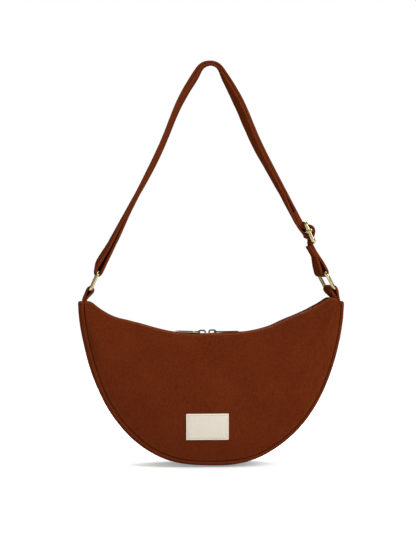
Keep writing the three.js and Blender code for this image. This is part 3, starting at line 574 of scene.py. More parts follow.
def bag_gusset():
    """The strip round the sides and bottom, bellied between its two seams, with hemmed ends at the tips."""
    turn = turns(301)[:, None]
    share = graded((-1.0, -0.9, 9), (-0.9, 0.9, 27), (0.9, 1.0, 9))[None, :]
    run = run_along(np.hstack(outline(turn, 0.0)))[:, None]
    roll = GUSSET_ROLL - 0.45 * right_side(turn)
    edge = seam_inset(turn) - SEAM_GAP - 2.0 * roll
    face = half_depth(turn) - roll
    belly = ripple(run + 9.0 * share, (83.0, 0.16, 0.4), (57.0, 0.12, 1.7), (131.0, 0.25, 0.9))
    puckers = ripple(run, (14.1, 0.06, 0.2), (23.0, 0.09, 1.4))
    inset = edge * share ** 2 - (1.0 - share ** 2) * belly - bump(np.abs(share), 0.86, 0.12) * puckers
    # both long edges roll under to the seam
    inward, outward = roll_over(roll, 1.6, 4.0)
    lip_in, lip_y = edge + inward, face + outward
    lips = lip_y.shape[1]
    inset = np.hstack([lip_in[:, ::-1], inset, lip_in])
    y = np.hstack([-lip_y[:, ::-1], share * face, lip_y])
    flat_lip = np.cumsum([0.55] * 8 + [1.6, 2.4])
    flat = np.concatenate([-BAG_DEPTH / 2 - flat_lip[::-1], share[0] * BAG_DEPTH / 2, BAG_DEPTH / 2 + flat_lip])
    x, z = outline(np.broadcast_to(turn, inset.shape), inset)
    # the hem at each tip
    inward, upward = (rows[:, None] for rows in roll_over(TIP_FOLD, 2.0, 4.0))
    n = len(inward)
    rows_x = np.concatenate([(x[0] - inward)[::-1], x, x[-1] + inward])
    rows_y = np.concatenate([np.repeat(y[:1], n, 0), y, np.repeat(y[-1:], n, 0)])
    rows_z = np.concatenate([(z[0] + upward)[::-1], z, z[-1] + upward])
    step = np.arange(1, n + 1)[:, None] * 0.7
    weave = grid_of(flat[None, :], np.concatenate([-step[::-1], run, run[-1] + step]))
    wear = np.zeros(rows_x.shape)
    wear[n:-n, lips - 4:lips] = wear[n:-n, -lips:4 - lips] = 0.08
    wear[n - 6:n + 1] = wear[-n - 1:6 - n] = 0.4
    return thicken(woven("gusset_canvas", to_world(rows_x, rows_y, rows_z), weave, wear=wear), CANVAS)


def seam_tape(name, side):
    """The bound seam allowance inside the bag."""
    turn = np.linspace(0.14, np.pi - 0.14, 220)[:, None]
    deep = np.array([3.4, 3.2, 3.4, 6.0, 9.6, 10.0, 9.6, 6.0])[None, :]
    wide = np.array([-0.7, 0.0, 0.7, 0.8, 0.7, 0.0, -0.7, -0.8])[None, :]
    around = np.array([0.0, 0.8, 1.6, 4.2, 7.8, 8.6, 9.4, 12.0, 15.6])[None, :]
    inset = seam_inset(turn) + deep + ripple(turn * HALF_WIDTH, (31.0, 0.3, side))
    x, z = outline(np.broadcast_to(turn, inset.shape), inset)
    points = to_world(x, side * (half_depth(turn) - 0.9 + wide), z)
    return woven(name, points, grid_of(around, turn * HALF_WIDTH), tube=True, flip=side == REAR)


def zip_angle(x):
    """How far round the zip's arc a place along the mouth is."""
    return np.arcsin((x - MOUTH_OFFSET) / ZIP_RADIUS)


def zip_tape(name, side):
    x = np.linspace(ZIP_LEFT, ZIP_RIGHT, 180)[:, None]
    across = np.linspace(3.0, 16.2, 12)[None, :]
    angle = zip_angle(x)
    lift = ripple(x, (37.0, 0.18, side), (19.0, 0.10, 0.7)) * smooth_step(3.0, 9.0, across)
    lift = lift - 0.3 * bump(across, 3.0, 2.0)
    z = MOUTH_CENTRE - ZIP_RADIUS * np.cos(angle) + ZIP_FOLLOWS * settled(x) + lift * np.cos(angle)
    points = to_world(x - lift * np.sin(angle), side * across, z)
    return thicken(woven(name, points, grid_of(across, angle * ZIP_RADIUS), flip=side == REAR), TAPE_THICK)


def zip_coil(name, side, offset):
    """One row of coil: a small rounded loop, copied along the zip's curve."""
    loop = start_shape(bpy.ops.mesh.primitive_uv_sphere_add, "coil loop", segments=8, ring_count=6, radius=1.0)
    start_edit()
    bpy.ops.transform.resize(value=(0.58 * MM, 1.85 * MM, 1.15 * MM))
    bpy.ops.transform.translate(value=(0.0, side * 1.45 * MM, 0.0))
    end_edit()
    x, y, z = np.array([v.co for v in loop.data.vertices]).T[:, None, :] / MM
    faces = [list(p.vertices) for p in loop.data.polygons]
    bpy.data.objects.remove(loop)
    step = COIL_PITCH / ZIP_RADIUS
    start, stop = zip_angle(ZIP_LEFT + COIL_MARGIN), zip_angle(ZIP_RIGHT - COIL_MARGIN)
    angle = np.arange(start + offset * step, stop, step)[:, None]
    c, s = np.cos(angle), np.sin(angle)
    radius = ZIP_RADIUS - z - ZIP_FOLLOWS * settled(MOUTH_OFFSET + ZIP_RADIUS * s)
    return copies(name, to_world(MOUTH_OFFSET + radius * s + x * c, y, MOUTH_CENTRE - radius * c + x * s), faces)


def end_cover(name, start, stop, hollow):
    """Crumpled canvas folded over an end of the zip, rising to the tip; a hollow leaves room for the pull."""
    x = np.linspace(start, stop, 48)[:, None]
    y = np.linspace(-COVER_HALF, COVER_HALF, 34)[None, :]
    way = np.abs(x - start) / abs(stop - start)
    slant = x + 0.25 * y
    z = mouth_line(x) - 1.6 + 0.9 * np.sin(np.pi * way)
    z = z + way * ripple(slant, (9.0, 0.75, 0.3), (5.6, 0.35, 1.1)) * (1.0 - (y / 17.0) ** 2)
    z = z + 0.5 * ripple(y, (14.0, 0.5, 0.6), (8.5, 0.3, 2.0))
    z = z - 1.3 * bump(way, 0.0, 0.08) - 1.0 * bump(np.abs(y), COVER_HALF, 1.6)
    z = z - hollow * bump(y, 0.0, 7.5) * smooth_step(0.05, 0.5, way)
    wear = 0.35 * np.clip(way * ripple(slant, (9.0, 0.9, 0.3)), 0.0, 1.0)
    return thicken(woven(name, to_world(x, y, z), grid_of(y, x), flip=stop > start, wear=wear), COVER_CANVAS)


def front_label(surface):
    """A soft patch lying on the front panel, thinner at its rim, held by a stitch line inside the edge."""
    half_x, half_z = LABEL_HALF_X, LABEL_HALF_Z
    a, y, c = (surface.reshape(-1, 3) - (BAG_X + LABEL_X, 0.0, BAG_Z + LABEL_Z)).T
    near = (np.abs(a) < 45.0) & (np.abs(c) < 36.0)

    def powers(px, pz):
        return grid_of(1.0, px, pz, px * px, px * pz, pz * pz)

    fit = np.linalg.lstsq(powers(a[near], c[near]), y[near], rcond=None)[0]

    def on_panel(px, pz):
        return powers(px, pz) @ fit - LABEL_LIFT

    def wave(px, pz):
        return np.abs(0.25 * ripple(px, (23.0, 0.4, 0.4)) + 0.12 * ripple(pz, (15.0, 0.5, 1.0)))

    def lines(half):
        rim = np.array([0.0, 0.12, 0.35, 0.7, 1.1, 1.5, 1.9, 2.3, 2.7, 3.2])
        return np.concatenate([rim - half, np.linspace(4.2 - half, half - 4.2, int(half * 1.1)), half - rim[::-1]])

    px, pz = np.broadcast_arrays(lines(half_x)[None, :], lines(half_z)[:, None])
    edge = np.minimum(half_x - np.abs(px), half_z - np.abs(pz))
    thick = 0.25 + 0.95 * np.sqrt(np.clip(edge / 0.9, 0.0, 1.0)) + 0.10 * smooth_step(2.4, 9.0, edge)
    thick = thick - 0.34 * bump(edge, LABEL_STITCH, 0.5)
    thick = thick + 0.05 * ripple(px + 0.3 * pz, (5.1, 1.0, 0.2), (8.3, 1.0, 1.2)) * bump(edge, 1.5, 1.6)
    # rounded corners
    cut_x = np.clip(np.abs(px) - half_x + LABEL_CORNER, 0.0, None)
    cut_z = np.clip(np.abs(pz) - half_z + LABEL_CORNER, 0.0, None)
    reach = np.hypot(cut_x, cut_z)
    pull = np.where(reach > 0.0, np.maximum(cut_x, cut_z) / np.maximum(reach, 1e-6), 1.0)
    bent_x = np.sign(px) * (np.abs(px) - cut_x + cut_x * pull)
    bent_z = np.sign(pz) * (np.abs(pz) - cut_z + cut_z * pull)
    x, z = bent_x + LABEL_X, bent_z + LABEL_Z
    points = to_world(x, on_panel(bent_x, bent_z) - wave(px, pz) - thick, z)
    patch = woven("label_patch", points, grid_of(x, z), wear=1.0 - smooth_step(1.0, 1.9, edge))
    sewn_x, sewn_z = half_x - LABEL_STITCH, half_z - LABEL_STITCH
    loop = [(-sewn_x, -sewn_z), (sewn_x, -sewn_z), (sewn_x, sewn_z), (-sewn_x, sewn_z)]
    rows = []
    for start, end in zip(loop, loop[1:] + loop[:1]):
        lx, lz = np.linspace(start, end, 30).T
        spots = to_world(lx + LABEL_X, on_panel(lx, lz) - wave(lx, lz) - 1.0, lz + LABEL_Z)
        rows.append(stitch_row(spots, pitch=2.3, length=1.75, radius=0.26))
    return thicken(patch, LABEL_THICK), stitching("label_stitching", rows)


# ---- the strap and the tabs

def round_pegs(pegs):
    """A tight line round pegs given as (x, z, radius, turn), turn +1 anticlockwise seen from the front."""

    def heading(a, b):
        dx, dz = b[0] - a[0], b[1] - a[1]
        return math.atan2(dz, dx) - math.asin((b[2] * b[3] - a[2] * a[3]) / math.hypot(dx, dz))

    ways = [heading(a, b) for a, b in zip(pegs, pegs[1:])]
    points, marks = [], []
    for i, (x, z, radius, turn) in enumerate(pegs):
        arrive, leave = ways[max(i - 1, 0)], ways[min(i, len(ways) - 1)]
        sweep = ((leave - arrive) * turn) % (2.0 * math.pi) if radius else 0.0
        # a hair less than a whole turn is a line that passes straight by
        sweep = 0.0 if sweep > 6.1 else sweep
        count = max(1, math.ceil(sweep * radius / 1.2))
        marks.append(len(points))
        for k in range(count + 1):
            angle = arrive + turn * sweep * k / count
            points.append((x + math.sin(angle) * radius * turn, z - math.cos(angle) * radius * turn))
    return np.array(points), marks


def even_line(points, step, softening=3):
    points = points[np.concatenate([[True], np.diff(run_along(points)) > 1e-6])]
    s = run_along(points)
    at = np.linspace(0.0, s[-1], int(round(s[-1] / step)) + 1)
    line = np.stack([np.interp(at, s, points[:, k]) for k in (0, 1)], -1)
    for _ in range(softening):
        line[1:-1] = 0.25 * line[:-2] + 0.5 * line[1:-1] + 0.25 * line[2:]
    return line


def headings(line):
    """The direction along a line at each point, and the one to its left."""
    tangent = unit(np.gradient(line, axis=0))
    return tangent, np.stack([-tangent[:, 1], tangent[:, 0]], -1)


# The strap's section: two faces with sunk stitch lines, and folded edges.
FLAT_W = np.array([-14.75, -13.5, -12.5, -11.5, -6.0, 0.0, 6.0, 11.5, 12.5, 13.5, 14.75])
FLAT_H = np.array([1.00, 1.08, 0.98, 1.08, 1.10, 1.12, 1.10, 1.08, 0.98, 1.08, 1.00])
SECTION_W = np.concatenate([FLAT_W, [15.0, 14.84, 15.0], FLAT_W[::-1], [-15.0, -14.84, -15.0]])
SECTION_H = np.concatenate([FLAT_H, [0.70, 0.0, -0.70], -FLAT_H, [-0.70, 0.0, 0.70]])
SECTION_RUN = run_along(np.stack([np.append(SECTION_W, SECTION_W[0]), np.append(SECTION_H, SECTION_H[0])], -1))
SECTION_WEAR = 0.35 * smooth_step(14.2, 14.9, np.abs(SECTION_W)) + 0.12 * bump(np.abs(SECTION_W), 13.5, 0.6)
STITCH_LINES = (2, 8, 16, 22)
OUTER_FACE, INNER_FACE = slice(2, 9), slice(16, 23)


def ribbon(line, lean, full=STRAP_FULL):
    """The folded strap along a line in the XZ plane. lean turns it about its front edge, in radians."""
    _, normal = headings(line)
    run = run_along(line)[:, None]
    w = SECTION_W + 0.16 * np.sign(SECTION_W) * ripple(run, (23.0, 1.0, 0.3), (9.5, 0.5, 1.2)) + STRAP_HALF
    h = SECTION_H * (full * np.ones(len(line)))[:, None]
    c, s = np.cos(lean)[:, None], np.sin(lean)[:, None]
    side = w * s + h * c
    x, z = line[:, :1] + normal[:, :1] * side, line[:, 1:] + normal[:, 1:] * side
    points = grid_of(x, w * c - h * s - STRAP_HALF, z)
    return points, grid_of(SECTION_RUN[None, :], run), np.broadcast_to(SECTION_WEAR, points.shape[:2])


def sewn_strip(name, sewn_name, points, weave, wear, pitch=3.3, tacks=()):
    """A strip's cloth and its stitches: along both edges, and densely across it at each tack, (face, row)."""
    rows = [stitch_row(points[:, column], pitch, length=pitch * 0.74, radius=0.27) for column in STITCH_LINES]
    rows += [stitch_row(points[row, face], pitch=1.6, length=1.35, radius=0.30) for face, row in tacks]
    return woven(name, points, weave, tube=True, wear=wear), stitching(sewn_name, rows)


def toward(start, end, distance, aside):
    """A point `distance` from start along the way to end, moved `aside` to the left of that way."""
    dx, dz = end[0] - start[0], end[1] - start[1]
    size = math.hypot(dx, dz)
    return start[0] + (dx * distance - dz * aside) / size, start[1] + (dz * distance + dx * aside) / size


# the strap's way down from the adjuster's middle bar to the right ring
DOWN_PEGS = [
    (BAR_MIDDLE[0] + 0.8, BAR_MIDDLE[1] + 0.3, OVER_WRAP, -1),
    (*BAR_LOWER, BAR_WRAP, 1),
    (*RIGHT_UPPER, RIGHT_WRAP, -1),
]


def shoulder_strap():
    """The long piece: from its sewn end at the adjuster over the top, through the left ring and back."""
    pinch, wide = 30.0, 60.0
    top, left_top, right_top = (0.0, -14.9), (-13.6, -7.1), (14.8, -6.7)
    pegs = [
        (*toward(BAR_UPPER, right_top, 19.0, 5.0), 0.0, 1),
        (*BAR_UPPER, OVER_WRAP, 1),
        (*BAR_MIDDLE, BAR_WRAP, -1),
        (BAR_MIDDLE[0] - 3.2, BAR_MIDDLE[1] - 2.6, 3.6, -1),
        (*BAR_UPPER, 10.4, -1),
        (*toward(BAR_UPPER, right_top, 46.0, 6.2 + pinch), pinch, 1),
        (*top, 13.4, 1),
        (*toward(LEFT_UPPER, left_top, 40.0, -3.5 - wide), wide, 1),
        (*LEFT_UPPER, LEFT_WRAP, -1),
        (*toward(LEFT_UPPER, left_top, 40.0, 1.2 + wide), wide, 1),
        (*top, 16.8, -1),
        (*BAR_UPPER, BAR_WRAP, 1),
        *DOWN_PEGS,
    ]
    path, marks = round_pegs(pegs)
    return even_line(path[:marks[-1]], 1.9)


# How far the strap is turned about its front edge, in degrees, by distance from the top of the bend.
# Positive shows its inner face. The two layers part towards the left ring.
LEFT_REACH = (0, 6, 14, 24, 40, 53, 78, 110, 150, 170, 201, 237, 274, 288, 297, 303, 308)
LEFT_INNER = (-4, 1.5, 6.5, 7.5, 7, 7.5, 6.5, 5.5, 4.8, 3.2, -0.5, -4, -7.5, -11, -14, -12, 0)
LEFT_OUTER = (*LEFT_INNER[:13], -9, -9, -6, 0)
RIGHT_REACH = (0, 9, 16, 27, 41, 56, 85, 128, 150, 180, 205, 225, 238, 246, 252, 259)
RIGHT_INNER = (-4, -7, -3, 1, 4, 7.5, 9, 6.5, 3.5, 1.5, -1, -5, -7, -16, -14, -6)
RIGHT_OUTER = (*RIGHT_INNER[:7], 5, 1.5, 0, 0, 0, 0, 0, 0, 0)


def settle_strap(line):
    """Bows the upper runs outwards a little and gives the turn of the strap at each point, in radians."""
    ring_index = int(np.argmin(np.where(line[:, 0] < 0.0, line[:, 1], 0.0)))
    run = run_along(line)
    tangent, normal = headings(line)
    lean, bow = np.zeros(len(line)), np.zeros(len(line))
    for first, last, left, right, way in (
        (0, ring_index, LEFT_INNER, RIGHT_INNER, 1.0),
        (ring_index, len(line), LEFT_OUTER, RIGHT_OUTER, -1.0),
    ):
        part = slice(first, last)
        apex = first + int(np.argmax(line[part, 1]))
        reach = way * (run[part] - run[apex])
        turn = np.where(reach > 0, np.interp(reach, LEFT_REACH, left), np.interp(-reach, RIGHT_REACH, right))
        turn = np.convolve(np.pad(turn, 2, mode="edge"), np.ones(5) / 5.0, mode="valid")
        # the sewn end doubles back beside the run above it, so it turns the other way
        back = np.where(reach < -195.0, np.clip(way * 2.0 * tangent[part, 1], -1.0, 1.0), 1.0)
        lean[part] = np.radians(way * turn) * back
        bow[part] = -way * 5.2 * bump(np.abs(reach), 62.0, 46.0)
        if way > 0:
            # the two layers lie together until near the left ring
            closer = 1.25 * np.clip(reach, 0.0, None) / 255.0 + 0.25 * smooth_step(25.0, 60.0, reach)
            bow[part] -= closer * (1.0 - smooth_step(215.0, 255.0, reach))
        else:
            bow[part] -= 0.6 * bump(reach, 0.0, 18.0)
    return line + normal * bow[:, None], lean


def twist_right(points, none_at, full_at):
    """Turns and lifts the cloth at the right ring with the ring, less and less along the ring's lean."""
    axis = np.array((math.sin(RIGHT_LEAN), 0.0, math.cos(RIGHT_LEAN)))
    base = np.array((RIGHT_LOWER[0], 0.0, RIGHT_LOWER[1]))
    offset = points - base
    height = offset @ axis
    amount = smooth_step(none_at, full_at, height)
    along = height[..., None] * axis
    across = offset - along
    c, s = np.cos(amount * RIGHT_TURN)[..., None], np.sin(amount * RIGHT_TURN)[..., None]
    turned = base + along + across * c + np.cross(np.broadcast_to(axis, across.shape), across) * s
    turned[..., 2] += math.tan(RIGHT_LIFT) * (turned[..., 1] + STRAP_HALF) * amount
    return turned


def ring_tab(name, tip, bar, turned):
    """A short folded strip from inside the tip, up round the ring's lower bar and back down."""
    way = 1 if bar[0] < tip else -1
    pegs = [
        (tip + way * 1.5, TIP_LEVEL - 9.0, 0.0, way),
        (tip + way * 1.6, TIP_LEVEL + 5.0, 0.0, way),
        (*bar, TAB_WRAP, way),
        (tip - way * 1.6, TIP_LEVEL + 5.0, 0.0, way),
        (tip - way * 1.5, TIP_LEVEL - 9.0, 0.0, way),
    ]
    line = even_line(round_pegs(pegs)[0], 1.0, 5)
    upward = np.gradient(line[:, 1])
    rise = smooth_step(TIP_LEVEL + 1.0, bar[1] - 5.0, line[:, 1]) * upward / np.abs(upward).max()
    points, weave, wear = ribbon(line, np.radians(0.0 if turned else np.where(upward > 0.0, -2.0, 9.5)) * rise)
    if turned:
        points = twist_right(points, none_at=-15.0, full_at=-2.0)
    return sewn_strip(name, name + "_stitching", points, weave, wear, pitch=3.0)


# ---- metal parts

def as_wire(radius, rounding, fullness=lambda x: 1.0):
    """The active object's edges as round wire. fullness thickens it by place along X, in mm."""
    bpy.ops.object.convert(target="CURVE")
    curve = bpy.context.object.data
    curve.dimensions = "3D"
    curve.fill_mode = "FULL"
    curve.use_fill_caps = True
    curve.bevel_depth = radius * MM
    curve.bevel_resolution = rounding
    for point in curve.splines[0].points:
        point.radius = fullness(point.co.x / MM)
    bpy.ops.object.convert(target="MESH")
    start_edit()
    bpy.ops.mesh.remove_doubles(threshold=MERGE)
    bpy.ops.mesh.normals_make_consistent(inside=False)
    end_edit()
    return bpy.context.object


def wire_loop(name, half_width, low, high, corner, wire, rail=1.0):
    """A wire rectangle with rounded corners, lying in local XY. rail thickens its two sides."""
    start_shape(bpy.ops.mesh.primitive_plane_add, name, size=1.0)
    start_edit()
    bpy.ops.transform.resize(value=(2.0 * half_width * MM, (high - low) * MM, 1.0))
    bpy.ops.transform.translate(value=(0.0, (high + low) / 2.0 * MM, 0.0))
    bpy.ops.mesh.bevel(offset=corner * MM, offset_type="OFFSET", segments=10, affect="VERTICES")
    bpy.ops.mesh.delete(type="ONLY_FACE")
    bpy.ops.mesh.select_all(action="SELECT")
    bpy.ops.mesh.subdivide(number_cuts=3)
    end_edit()
    side = half_width - 5.0, half_width - 1.0
    ob = as_wire(wire / 2.0, 6, lambda x: 1.0 + (rail - 1.0) * smooth_step(*side, abs(x)))
    bpy.ops.object.shade_smooth()
    return ob


def lean_frame(at, lean, turn=0.0):
    """A matrix for a flat part: local X across the strap, local Y up its lean, at a bar's centre."""
    up = Vector((math.sin(lean), 0.0, math.cos(lean)))
    across = Matrix.Rotation(turn, 3, up) @ Vector((0.0, 1.0, 0.0))
    matrix = Matrix((across, up, across.cross(up))).transposed().to_4x4()
    matrix.translation = Vector((at[0], 0.0, at[1])) * MM
    return matrix


def set_in_place(ob, matrix):
    ob.data.transform(matrix)
    ob.matrix_world = Matrix.Identity(4)
    return ob


def tip_ring(side, at, lean, turn=0.0):
    ring = wire_loop(f"tip_ring_{side}", RING_HALF, 0.0, RING_TALL, RING_CORNER, RING_WIRE)
    return set_in_place(ring, lean_frame(at, lean, turn))


def adjuster_frame():
    """Three-bar slide: a wire frame and a middle bar whose pressed ends wrap the side wires."""
    loop = wire_loop("strap_adjuster", 18.5, low=-15.9, high=11.9, corner=4.0, wire=3.5, rail=1.42)
    bar = start_shape(bpy.ops.mesh.primitive_cylinder_add, "middle bar", vertices=24, radius=1.75 * MM,
                      depth=37.0 * MM, rotation=(0.0, math.pi / 2.0, 0.0))
    bpy.ops.object.transform_apply(location=True, rotation=True, scale=True)
    parts = [loop, bar]
    for side in (-1.0, 1.0):
        middle = (side * 18.6 * MM, 0.0, 0.0)
        parts.append(start_shape(bpy.ops.mesh.primitive_cube_add, "bar sleeve", size=1.0, location=middle))
        start_edit()
        bpy.ops.transform.resize(value=(5.8 * MM, 4.0 * MM, 8.4 * MM), center_override=middle)
        bpy.ops.mesh.bevel(offset=1.4 * MM, segments=5, affect="EDGES")
        end_edit()
        bpy.ops.object.transform_apply(location=True, rotation=True, scale=True)
    make_active(loop)
    for part in parts:
        part.select_set(True)
    bpy.ops.object.join()
    bpy.ops.object.shade_smooth_by_angle(angle=math.radians(40.0))
    return loop


def bridge_arch(name, node, along):
    """The low arch on a slider that the pull swings on: flattened wire, feet on the slider's plate."""
    low, high = (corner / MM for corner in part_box(node))
    half, tall, wall, square = (high.x - low.x) / 2.0 + 0.6, high.z - low.z - 0.7, 1.0, 0.68
    middle = (0.0, 0.0, 0.0)
    ob = start_shape(bpy.ops.mesh.primitive_circle_add, name, vertices=72, radius=1.0)
    start_edit()
    bpy.ops.mesh.bisect(plane_co=middle, plane_no=(0.0, 1.0, 0.0), clear_inner=True)
    end_edit()
    for vertex in ob.data.vertices:
        vertex.co.x = math.copysign(abs(vertex.co.x) ** square, vertex.co.x)
        vertex.co.y = abs(vertex.co.y) ** square
    start_edit()
    bpy.ops.transform.resize(value=((half - wall) * MM, (tall - wall) * MM, 1.0), center_override=middle)
    end_edit()
    ob = as_wire(wall, 5)
    start_edit()
    bpy.ops.transform.resize(value=(1.0, 1.0, (high.y - low.y) / (2.0 * wall)), center_override=middle)
    end_edit()
    bpy.ops.object.shade_smooth_by_angle(angle=math.radians(50.0))
    stand = Matrix.Rotation(math.pi / 2.0, 4, "X")
    stand.translation = Vector(((low.x + high.x) / 2.0 + along, (low.y + high.y) / 2.0, low.z)) * MM
    return set_in_place(ob, stand)


def softened(name, node, edge):
    """A copy of a CAD metal part with its triangles joined into faces and its edges rounded."""
    ob = new_object(name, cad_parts[node].data.copy())
    make_active(ob)
    start_edit()
    bpy.ops.mesh.remove_doubles(threshold=MERGE)
    bpy.ops.mesh.dissolve_limited(angle_limit=math.radians(3.0))
    end_edit()
    apply_modifier(ob, "BEVEL", width=edge * MM, segments=3, limit_method="ANGLE", angle_limit=math.radians(28.0))
    bpy.ops.object.shade_smooth_by_angle(angle=math.radians(35.0))
    return ob


# ---- putting the bag together

front, front_hem, front_surface = bag_panel("front_panel_canvas", FRONT, swell=6.0)
rear, rear_hem, _ = bag_panel("rear_panel_canvas", REAR, swell=4.0)
gusset = bag_gusset()
for piece, node in ((front, "front_panel"), (rear, "rear_panel"), (gusset, "gusset")):
    put_on(piece, PANEL_CANVAS, "bag", "canvas", node)
for name, side, panel, area in (("front", FRONT, front, 0.0493), ("rear", REAR, rear, 0.0490)):
    binding = seam_tape(f"{name}_seam_tape", side)
    put_on(binding, BINDING_CLOTH, "bag", "binding", f"{name}_seam_binding")

sunk = np.array((0.0, 0.12, 0.0))
hem_rows = [stitch_row(hem, pitch=3.0, length=2.2, radius=0.2) for hem in (front_hem + sunk, rear_hem - sunk)]
put_on(stitching("mouth_hem_stitching", hem_rows), RUST_THREAD, "bag", "canvas")

label, label_sewn = front_label(front_surface)
put_on(label, LABEL_CLOTH, "bag", "label", "label")
put_on(label_sewn, CREAM_THREAD, "bag", "label")

tapes = []
for name, side, panel in (("front", FRONT, front), ("rear", REAR, rear)):
    tapes.append(zip_tape(f"zip_tape_{name}_cloth", side))
    put_on(tapes[-1], TAPE_CLOTH, "bag", "zip_tape", f"zip_tape_{name}")
for name, side, offset in (("front", FRONT, 0.0), ("rear", REAR, 0.5)):
    put_on(zip_coil(f"zip_coil_{name}_loops", side, offset), COIL, "bag", "zip_coil", f"zip_coil_{name}")
for side, start, stop, hollow, length in (
    ("left", ZIP_LEFT - 1.0, -COVER_END, 5.0, 0.026),
    ("right", ZIP_RIGHT + 1.0, COVER_END, 0.0, 0.032),
):
    cover = end_cover(f"zip_end_cloth_{side}", start, stop, hollow)
    put_on(cover, PANEL_CANVAS, "bag", "canvas", f"zip_end_cover_{side}")

for side, tip, bar in (("left", LEFT_TIP, LEFT_LOWER), ("right", RIGHT_TIP, RIGHT_LOWER)):
    tab, sewn = ring_tab(f"tab_cloth_{side}", tip, bar, side == "right")
    put_on(tab, STRAP_CANVAS, "bag", "strap", f"ring_tab_{side}")
    put_on(sewn, RUST_THREAD, "bag", "strap")

# the strap: one length, cut where it leaves the adjuster's lowest bar
upper_line = shoulder_strap()
# pressed thinner at the top of the bend
pressed = STRAP_FULL - 0.3 * bump(np.hypot(*upper_line.T), 0.0, 20.0)
points, weave, wear = ribbon(*settle_strap(upper_line), pressed)
tacks = [(face, row) for face in (OUTER_FACE, INNER_FACE) for row in (2, 9)]
strap, strap_sewn = sewn_strip(
    "shoulder_strap_canvas", "shoulder_strap_stitching", points, weave, wear, tacks=tacks)

tail_path, tail_marks = round_pegs([*DOWN_PEGS, (136.6, -247.0, 0.0, -1), (128.4, -233.5, 0.0, -1)])
tail_line = even_line(tail_path[tail_marks[1]:], 1.4)
points, weave, wear = ribbon(tail_line, np.zeros(len(tail_line)))
points = twist_right(points, none_at=58.0, full_at=30.0)
tacks = [(INNER_FACE, row) for row in (-3, -8)]
tail, tail_sewn = sewn_strip("strap_tail_canvas", "strap_tail_stitching", points, weave, wear, tacks=tacks)

strap_nodes = ("strap_main", "strap_inner_slack", "strap_outer_slack", "strap_sewn_end", "strap_over_bar")
for piece, finish, nodes in ((strap, STRAP_CANVAS, strap_nodes), (strap_sewn, RUST_THREAD, ())):
    put_on(piece, finish, None, "strap", *nodes)
    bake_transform(piece)
for piece, finish, nodes in ((tail, STRAP_CANVAS, ("strap_end_tab",)), (tail_sewn, RUST_THREAD, ())):
    put_on(piece, finish, None, "strap", *nodes)
    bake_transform(piece)

left_ring = tip_ring("left", LEFT_LOWER, LEFT_LEAN)
right_ring = tip_ring("right", RIGHT_LOWER, RIGHT_LEAN, RIGHT_TURN)
lift_about = Matrix.Translation(Vector((0.0, -STRAP_HALF, (RIGHT_UPPER[1] + RIGHT_LOWER[1]) / 2.0)) * MM)
set_in_place(right_ring, lift_about @ Matrix.Rotation(RIGHT_LIFT, 4, "X") @ lift_about.inverted())
put_on(left_ring, BRASS, "left_ring", "brass", "ring_left")
put_on(right_ring, BRASS, "right_ring", "brass", "ring_right")
adjuster = set_in_place(adjuster_frame(), lean_frame(BAR_MIDDLE, ADJUSTER_LEAN))
put_on(adjuster, BRASS, "adjuster", "brass", "adjuster")

for side in ("left", "right"):
    pull = softened(f"zip_pull_{side}", f"pull_{side}", edge=0.4)
    hinge, tilt, roll, (slack, drop) = PULL_REST[side]
    about = Matrix.Translation(Vector((hinge[0], 0.0, hinge[1])) * MM)
    lie = Matrix.Rotation(math.radians(tilt), 4, "Y") @ Matrix.Rotation(math.radians(roll), 4, "X")
    pull.data.transform(Matrix.Translation((slack * MM, 0.0, drop * MM)) @ about @ lie @ about.inverted())
    put_on(pull, BRONZE, f"{side}_pull", "bronze", f"pull_{side}")
    slider = softened(f"zip_slider_{side}", f"slider_{side}_body", edge=0.35)
    put_on(slider, BRONZE, f"{side}_slider", "bronze", f"slider_{side}_body")
    bridge = bridge_arch(f"zip_bridge_{side}", f"slider_{side}_bridge", BRIDGE_SHIFT[side])
    put_on(bridge, BRONZE, f"{side}_slider", "bronze", f"slider_{side}_bridge")

    stop = softened(f"zip_end_stop_{side}", f"zip_stop_{side}", edge=0.3)
    low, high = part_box(f"zip_stop_{side}")
    sag = ZIP_FOLLOWS * float(settled((low.x + high.x) / (2.0 * MM) - BAG_X))
    stop.data.transform(Matrix.Translation((0.0, 0.0, sag * MM)))
    put_on(stop, BRONZE, "bag", "bronze", f"zip_stop_{side}")

# ---- floor, light and camera

scene = bpy.context.scene
scene.view_settings.view_transform = "Standard"

floor = start_shape(bpy.ops.mesh.primitive_plane_add, "studio_floor", size=1.0)
floor.data.transform(Matrix.Translation((0.0, 0.0, -0.5146)) @ Matrix.Diagonal((8.0, 8.0, 1.0, 1.0)))
floor.data.materials.append(paper_finish("white paper floor"))

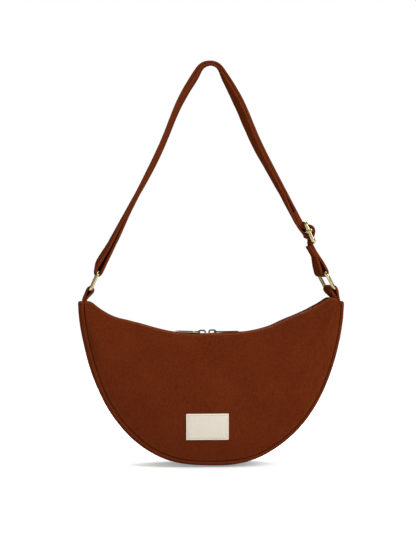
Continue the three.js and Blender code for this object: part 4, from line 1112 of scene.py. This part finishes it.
# The camera sees a white backdrop. What lights the bag is a lighter room on the camera's side and a dim one
# behind, so that rounded metal darkens to its edges.
scene.world = bpy.data.worlds.new("studio")
air = Nodes(scene.world)
backdrop = air.tree.nodes["Background"]
air.feed(backdrop.inputs["Color"], WHITE)
air.feed(backdrop.inputs["Strength"], 1.0)
depth = air.node("SeparateXYZ", {"Vector": air.place("Generated")}).outputs["Y"]
strength = air.ramp(depth, -0.95, -0.15, 0.48, 0.08, "SMOOTHSTEP")
room = air.node("Background", {"Color": WHITE, "Strength": strength})
rays = air.node("LightPath").outputs
seen = air.maths("MAXIMUM", rays["Is Camera Ray"], rays["Is Transmission Ray"])
choose = air.node("MixShader", {"Fac": seen, 1: room.outputs[0], 2: backdrop.outputs[0]})
air.feed(air.tree.nodes["World Output"].inputs["Surface"], choose.outputs[0])


def softbox(name, at, aim, size, power):
    lamp = bpy.data.lights.new(name, "AREA")
    lamp.shape = "RECTANGLE"
    lamp.size, lamp.size_y = size
    lamp.energy = power
    ob = new_object(name, lamp)
    ob.matrix_world = (Vector(aim) - Vector(at)).to_track_quat("-Z", "Y").to_matrix().to_4x4()
    ob.matrix_world.translation = Vector(at)


softbox("key softbox", (1.4, -1.35, 0.75), (0.0, 0.0, -0.30), (0.5, 1.2), power=36.0)
softbox("fill softbox", (-1.75, -0.85, 0.0), (0.0, 0.0, -0.3), (0.8, 1.3), power=5.5)
softbox("top softbox", (0.0, 0.3, 1.4), (0.0, 0.0, -0.2), (1.4, 1.4), power=24.0)
softbox("back softbox", (0.0, 1.5, 1.0), (0.0, 0.0, -0.4), (0.9, 0.9), power=15.0)

AZIMUTH, DISTANCE, AIM = math.radians(-4.5), 2.05, Vector((-0.0013, 0.0, -0.2743))
SENSOR, VIEW_HEIGHT = 24.0, 0.7148
camera_data = bpy.data.cameras.new("camera")
camera_data.sensor_fit = "VERTICAL"
camera_data.sensor_height = SENSOR
camera_data.lens = SENSOR * DISTANCE / VIEW_HEIGHT
camera = scene.camera = new_object("camera", camera_data)
camera.matrix_world = Matrix.Rotation(AZIMUTH, 4, "Z") @ Matrix.Rotation(math.pi / 2.0, 4, "X")
camera.matrix_world.translation = AIM + Vector((math.sin(AZIMUTH), -math.cos(AZIMUTH), 0.0)) * DISTANCE
